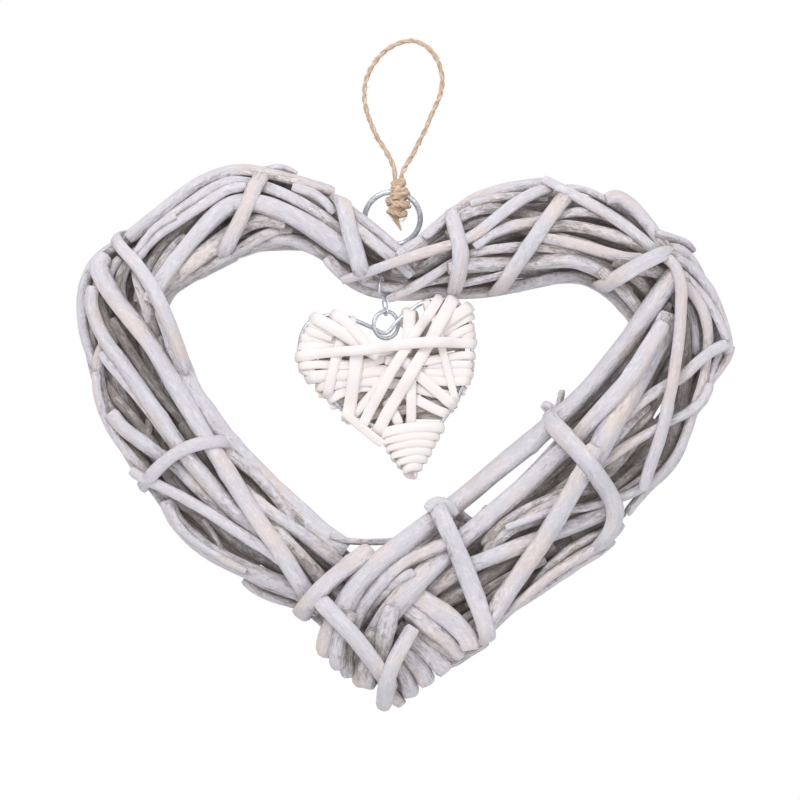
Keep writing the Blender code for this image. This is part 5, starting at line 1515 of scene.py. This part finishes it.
def loop_hairs(path, rng):
    """Fine hairs along the loop."""
    hairs = []
    for _ in range(LOOP_HAIRS):
        number = int(rng.integers(3, len(path) - 3))
        ahead = unit(path[number + 1] - path[number - 1])
        out = unit(np.cross(ahead, rng.normal(size=3)))
        way = unit(ahead * rng.choice((-1, 1)) * rng.uniform(0.7, 1.6) + out)
        hairs.append(fibre(path[number] + out * 0.0007, way, rng.uniform(0.0007, 0.0018), rng))
    return hairs


def make_twine(material):
    """The hanging loop of two-ply jute and its wrapped, frayed knot."""
    rng = np.random.default_rng(LAYOUT_SEEDS["twine"])
    height = -KNOT_TOP - TWINE_HIDDEN
    front = -RING_RADIUS * math.sin(RING_TILT)
    path = smooth([(aside * height, front * down, -down * height) for aside, down in TWINE_ROUTE], TWINE_STEP)
    parts = ply_strands(path, TWINE_RADIUS, len(path) * TWINE_STEP / TWINE_PITCH, 2, TWINE_PLY, 9, rng)
    parts += loop_hairs(path, rng)
    loop = make_piece("twine_loop_cord", bundle_mesh("twine_loop_cord", parts), material, ("twine_loop",))
    parts = knot_strands(KNOT_PLACE, front, rng)
    parts += knot_hairs(KNOT_PLACE, front, rng)
    tied = make_piece("twine_knot_wraps", bundle_mesh("twine_knot_wraps", parts), material, ("twine_knot",))


# Materials

WOOD_DARK = (0.29, 0.258, 0.242, 1)
WOOD_LIGHT = (0.52, 0.455, 0.43, 1)
WOOD_STREAKS = (0.43, 0.385, 0.368, 1)
WASH_COOL = (0.760, 0.735, 0.810, 1)
WASH_WARM = (0.85, 0.735, 0.705, 1)
WASH_THICK = (0.90, 0.865, 0.90, 1)
WASH_LINES = (0.62, 0.59, 0.635, 1)
ZINC_DARK = (0.56, 0.59, 0.64, 1)
ZINC_LIGHT = (0.80, 0.83, 0.88, 1)
ZINC_SPOTS = (0.36, 0.37, 0.40, 1)
JUTE_DARK = (0.46, 0.305, 0.205, 1)
JUTE_LIGHT = (0.80, 0.63, 0.49, 1)
JUTE_WORN = (0.90, 0.78, 0.67, 1)
STRIP_WOOD_DARK = (0.42, 0.345, 0.28, 1)
STRIP_WOOD_LIGHT = (0.60, 0.505, 0.43, 1)
CREAM_COOL = (0.93, 0.885, 0.885, 1)
CREAM_WARM = (0.94, 0.86, 0.84, 1)
FLOOR_DARK = (0.80, 0.80, 0.80, 1)
FLOOR_LIGHT = (0.84, 0.84, 0.84, 1)


def put(tree, made, inputs):
    """Links or sets a node's inputs."""
    for key, value in inputs.items():
        if isinstance(value, bpy.types.NodeSocket):
            tree.links.new(value, made.inputs[key])
        else:
            made.inputs[key].default_value = value


def node(tree, kind, inputs=None, **settings):
    """Adds a node, sets it up, and links or sets its inputs."""
    made = tree.nodes.new(kind)
    for name, value in settings.items():
        setattr(made, name, value)
    put(tree, made, inputs or {})
    return made


def new_material(name):
    """An empty material and its node tree."""
    made = bpy.data.materials.new(name)
    made.use_nodes = True
    return made, made.node_tree


def set_shader(tree, colour, roughness, bump=None, **others):
    """Sets or links the shader's inputs. A bump is its strength, its distance and its height."""
    inputs = {"Base Color": colour, "Roughness": roughness}
    inputs.update({key.replace("_", " "): value for key, value in others.items()})
    if bump:
        strength, distance, height = bump
        made = node(tree, "ShaderNodeBump", {"Strength": strength, "Distance": distance, "Height": height})
        inputs["Normal"] = made.outputs["Normal"]
    put(tree, tree.nodes["Principled BSDF"], inputs)


def attribute(tree, name, output):
    """The socket of a mesh's own numbers."""
    return node(tree, "ShaderNodeAttribute", attribute_name=name).outputs[output]


def noise(tree, place, scale, stretch=(1, 1, 1), detail=3.0, roughness=0.55, distortion=0.0):
    """Soft random values from 0 to 1, stretched along the rod by a small third number."""
    scaled = node(tree, "ShaderNodeVectorMath", {0: place, 1: stretch}, operation="MULTIPLY").outputs[0]
    return node(tree, "ShaderNodeTexNoise", {"Vector": scaled, "Scale": scale, "Detail": detail,
                                             "Roughness": roughness, "Distortion": distortion}).outputs["Fac"]


def ramp(tree, value, low, high, start=0.0, end=1.0):
    """A number between low and high, as a smooth number between start and end."""
    inputs = {"Value": value, "From Min": low, "From Max": high, "To Min": start, "To Max": end}
    return node(tree, "ShaderNodeMapRange", inputs, interpolation_type="SMOOTHSTEP").outputs["Result"]


def maths(tree, operation, first, second):
    """Two numbers put together."""
    return node(tree, "ShaderNodeMath", {0: first, 1: second}, operation=operation).outputs[0]


def mixed(tree, share, first, second):
    """Two colours mixed."""
    made = node(tree, "ShaderNodeMix", data_type="RGBA")
    put(tree, made, {0: share, 6: first, 7: second})
    return made.outputs[2]


def willow_material():
    """Peeled willow under a thin uneven whitewash."""
    made, tree = new_material("whitewashed_willow")
    grain = attribute(tree, "grain", "Vector")
    paint_and_painted_shade = attribute(tree, "paint_and_painted_shade", "Fac")
    tone = attribute(tree, "tone", "Fac")
    streaks = noise(tree, grain, 1500, (1, 1, 0.06), detail=5.0, roughness=0.65, distortion=0.3)
    fine = noise(tree, grain, 4200, (1, 1, 0.08), detail=3.0)
    lines = noise(tree, grain, 2600, (1, 1, 0.09), detail=4.0, roughness=0.6, distortion=0.4)
    blotches = noise(tree, grain, 620, (1, 1, 0.42), detail=5.0, roughness=0.68, distortion=0.8)
    patches = noise(tree, grain, 150, (1, 1, 0.30), detail=3.0, distortion=0.6)
    warmth = noise(tree, grain, 110, (1, 1, 0.35), detail=3.0)
    flecks = noise(tree, grain, 1700, (1, 1, 0.45), detail=2.0)
    wood = mixed(tree, ramp(tree, blotches, 0.35, 0.65), WOOD_DARK, WOOD_LIGHT)
    wood = mixed(tree, ramp(tree, streaks, 0.35, 0.70), wood, WOOD_STREAKS)
    warm = mixed(tree, ramp(tree, warmth, 0.45, 0.68), WASH_COOL, WASH_WARM)
    wash = mixed(tree, ramp(tree, blotches, 0.46, 0.70), warm, WASH_THICK)
    wash = mixed(tree, ramp(tree, lines, 0.46, 0.66, 0.0, 0.28), wash, WASH_LINES)
    # The paint number is lower where the sky is hidden, so the darker wood shows there: painted shade, partly
    # thinner whitewash
    cover_and_shade = maths(tree, "ADD", paint_and_painted_shade, ramp(tree, streaks, 0.30, 0.70, -0.20, 0.14))
    cover_and_shade = maths(tree, "ADD", cover_and_shade, ramp(tree, blotches, 0.30, 0.66, -0.28, 0.16))
    cover_and_shade = maths(tree, "ADD", cover_and_shade, ramp(tree, patches, 0.32, 0.68, -0.16, 0.12))
    cover_and_shade = maths(tree, "ADD", cover_and_shade, tone)
    cover_and_shade = ramp(tree, cover_and_shade, 0.02, 0.80)
    cover_and_shade = maths(tree, "MAXIMUM", cover_and_shade, ramp(tree, flecks, 0.66, 0.72, 0.0, 0.55))
    cracks = ramp(tree, fine, 0.27, 0.36, 0.55, 1.0)
    colour = mixed(tree, maths(tree, "MULTIPLY", cover_and_shade, cracks), wood, wash)
    height = maths(tree, "ADD", streaks, maths(tree, "SUBTRACT", fine, lines))
    height = maths(tree, "ADD", height, maths(tree, "MULTIPLY", blotches, 0.8))
    set_shader(tree, colour, ramp(tree, cover_and_shade, 0.0, 1.0, 0.90, 0.72), (0.80, 0.00045, height),
               Specular_IOR_Level=0.22)
    return made


def zinc_material():
    """Galvanised wire: grey with a soft mottle and small bright and dull spots."""
    made, tree = new_material("galvanised_wire")
    place = node(tree, "ShaderNodeTexCoord").outputs["Object"]
    mottle = noise(tree, place, 900, detail=3.0)
    spots = noise(tree, place, 3500, detail=2.0)
    colour = mixed(tree, ramp(tree, mottle, 0.35, 0.65), ZINC_DARK, ZINC_LIGHT)
    colour = mixed(tree, ramp(tree, spots, 0.62, 0.74), colour, ZINC_SPOTS)
    set_shader(tree, colour, ramp(tree, mottle, 0.3, 0.7, 0.48, 0.30), (0.3, 0.0001, spots), Metallic=0.70)
    return made


def jute_material():
    """Brown twine: fibres along each ply, with lighter worn patches."""
    made, tree = new_material("jute_twine")
    grain = attribute(tree, "grain", "Vector")
    fibres = noise(tree, grain, 5200, (1, 1, 0.10), detail=3.0)
    patches = noise(tree, grain, 600, (1, 1, 0.4), detail=2.0)
    colour = mixed(tree, ramp(tree, fibres, 0.32, 0.68), JUTE_DARK, JUTE_LIGHT)
    colour = mixed(tree, ramp(tree, patches, 0.50, 0.72, 0.0, 0.6), colour, JUTE_WORN)
    set_shader(tree, colour, 0.92, (0.6, 0.0002, fibres), Specular_IOR_Level=0.15)
    return made


def cream_material():
    """Cream-white split willow strips of the small heart."""
    made, tree = new_material("cream_willow")
    grain = attribute(tree, "grain", "Vector")
    paint_and_painted_shade = attribute(tree, "paint_and_painted_shade", "Fac")
    streaks = noise(tree, grain, 2400, (1, 1, 0.045), detail=4.0)
    patches = noise(tree, grain, 260, (1, 1, 0.30), detail=3.0)
    wood = mixed(tree, ramp(tree, streaks, 0.35, 0.65), STRIP_WOOD_DARK, STRIP_WOOD_LIGHT)
    wash = mixed(tree, ramp(tree, patches, 0.38, 0.66), CREAM_COOL, CREAM_WARM)
    # The paint number is lower where the sky is hidden, so the darker wood shows there: painted shade, partly
    # thinner whitewash
    cover_and_shade = maths(tree, "ADD", paint_and_painted_shade, ramp(tree, streaks, 0.30, 0.70, -0.20, 0.14))
    colour = mixed(tree, ramp(tree, cover_and_shade, 0.05, 0.75), wood, wash)
    set_shader(tree, colour, 0.72, (0.45, 0.00025, streaks), Specular_IOR_Level=0.25)
    return made


# Stage

def add_camera():
    """The photograph's camera: level, from straight in front."""
    data = bpy.data.cameras.new("camera")
    data.lens = LENS
    data.sensor_width = SENSOR
    camera = add_object("camera", data)
    camera.location = (VIEW_MIDDLE[0], -VIEW_DISTANCE, VIEW_MIDDLE[1])
    camera.rotation_euler = (math.radians(90), 0, 0)
    bpy.context.scene.camera = camera


def add_light(name, place, size, power):
    """A soft white box that faces the wreath's middle."""
    data = bpy.data.lights.new(name, "AREA")
    data.size = size
    data.energy = power
    light = add_object(name, data)
    light.location = place
    light.rotation_euler = (Vector(LIGHT_AIM) - Vector(place)).to_track_quat("-Z", "Y").to_euler()


def add_stage():
    """White surroundings, soft boxes and a pale floor."""
    scene = bpy.context.scene
    scene.view_settings.view_transform = "Standard"
    world = bpy.data.worlds.new("studio")
    scene.world = world
    world.use_nodes = True
    tree = world.node_tree
    seen = node(tree, "ShaderNodeLightPath").outputs["Is Camera Ray"]
    put(tree, tree.nodes["Background"], {"Color": (1.0, 1.0, 1.0, 1),
                                         "Strength": ramp(tree, seen, 0.0, 1.0, WORLD_LIGHT, 1.0)})
    for light in LIGHTS:
        add_light(*light)
    mesh = bpy.data.meshes.new("floor")
    reach = FLOOR_HALF_WIDTH
    mesh.from_pydata([(x * reach, y * reach, FLOOR_HEIGHT) for x, y in ((-1, -1), (1, -1), (1, 1), (-1, 1))],
                     [], [(0, 1, 2, 3)])
    floor = add_object("floor", mesh)
    material, tree = new_material("pale_floor")
    soft = noise(tree, node(tree, "ShaderNodeTexCoord").outputs["Object"], 40, detail=2.0)
    set_shader(tree, mixed(tree, soft, FLOOR_DARK, FLOOR_LIGHT), 0.9)
    mesh.materials.append(material)


# The making, with the camera and the cord first

add_camera()
make_twine(jute_material())
add_stage()
make_wires(zinc_material())
make_heart(cream_material())
make_willow(willow_material())
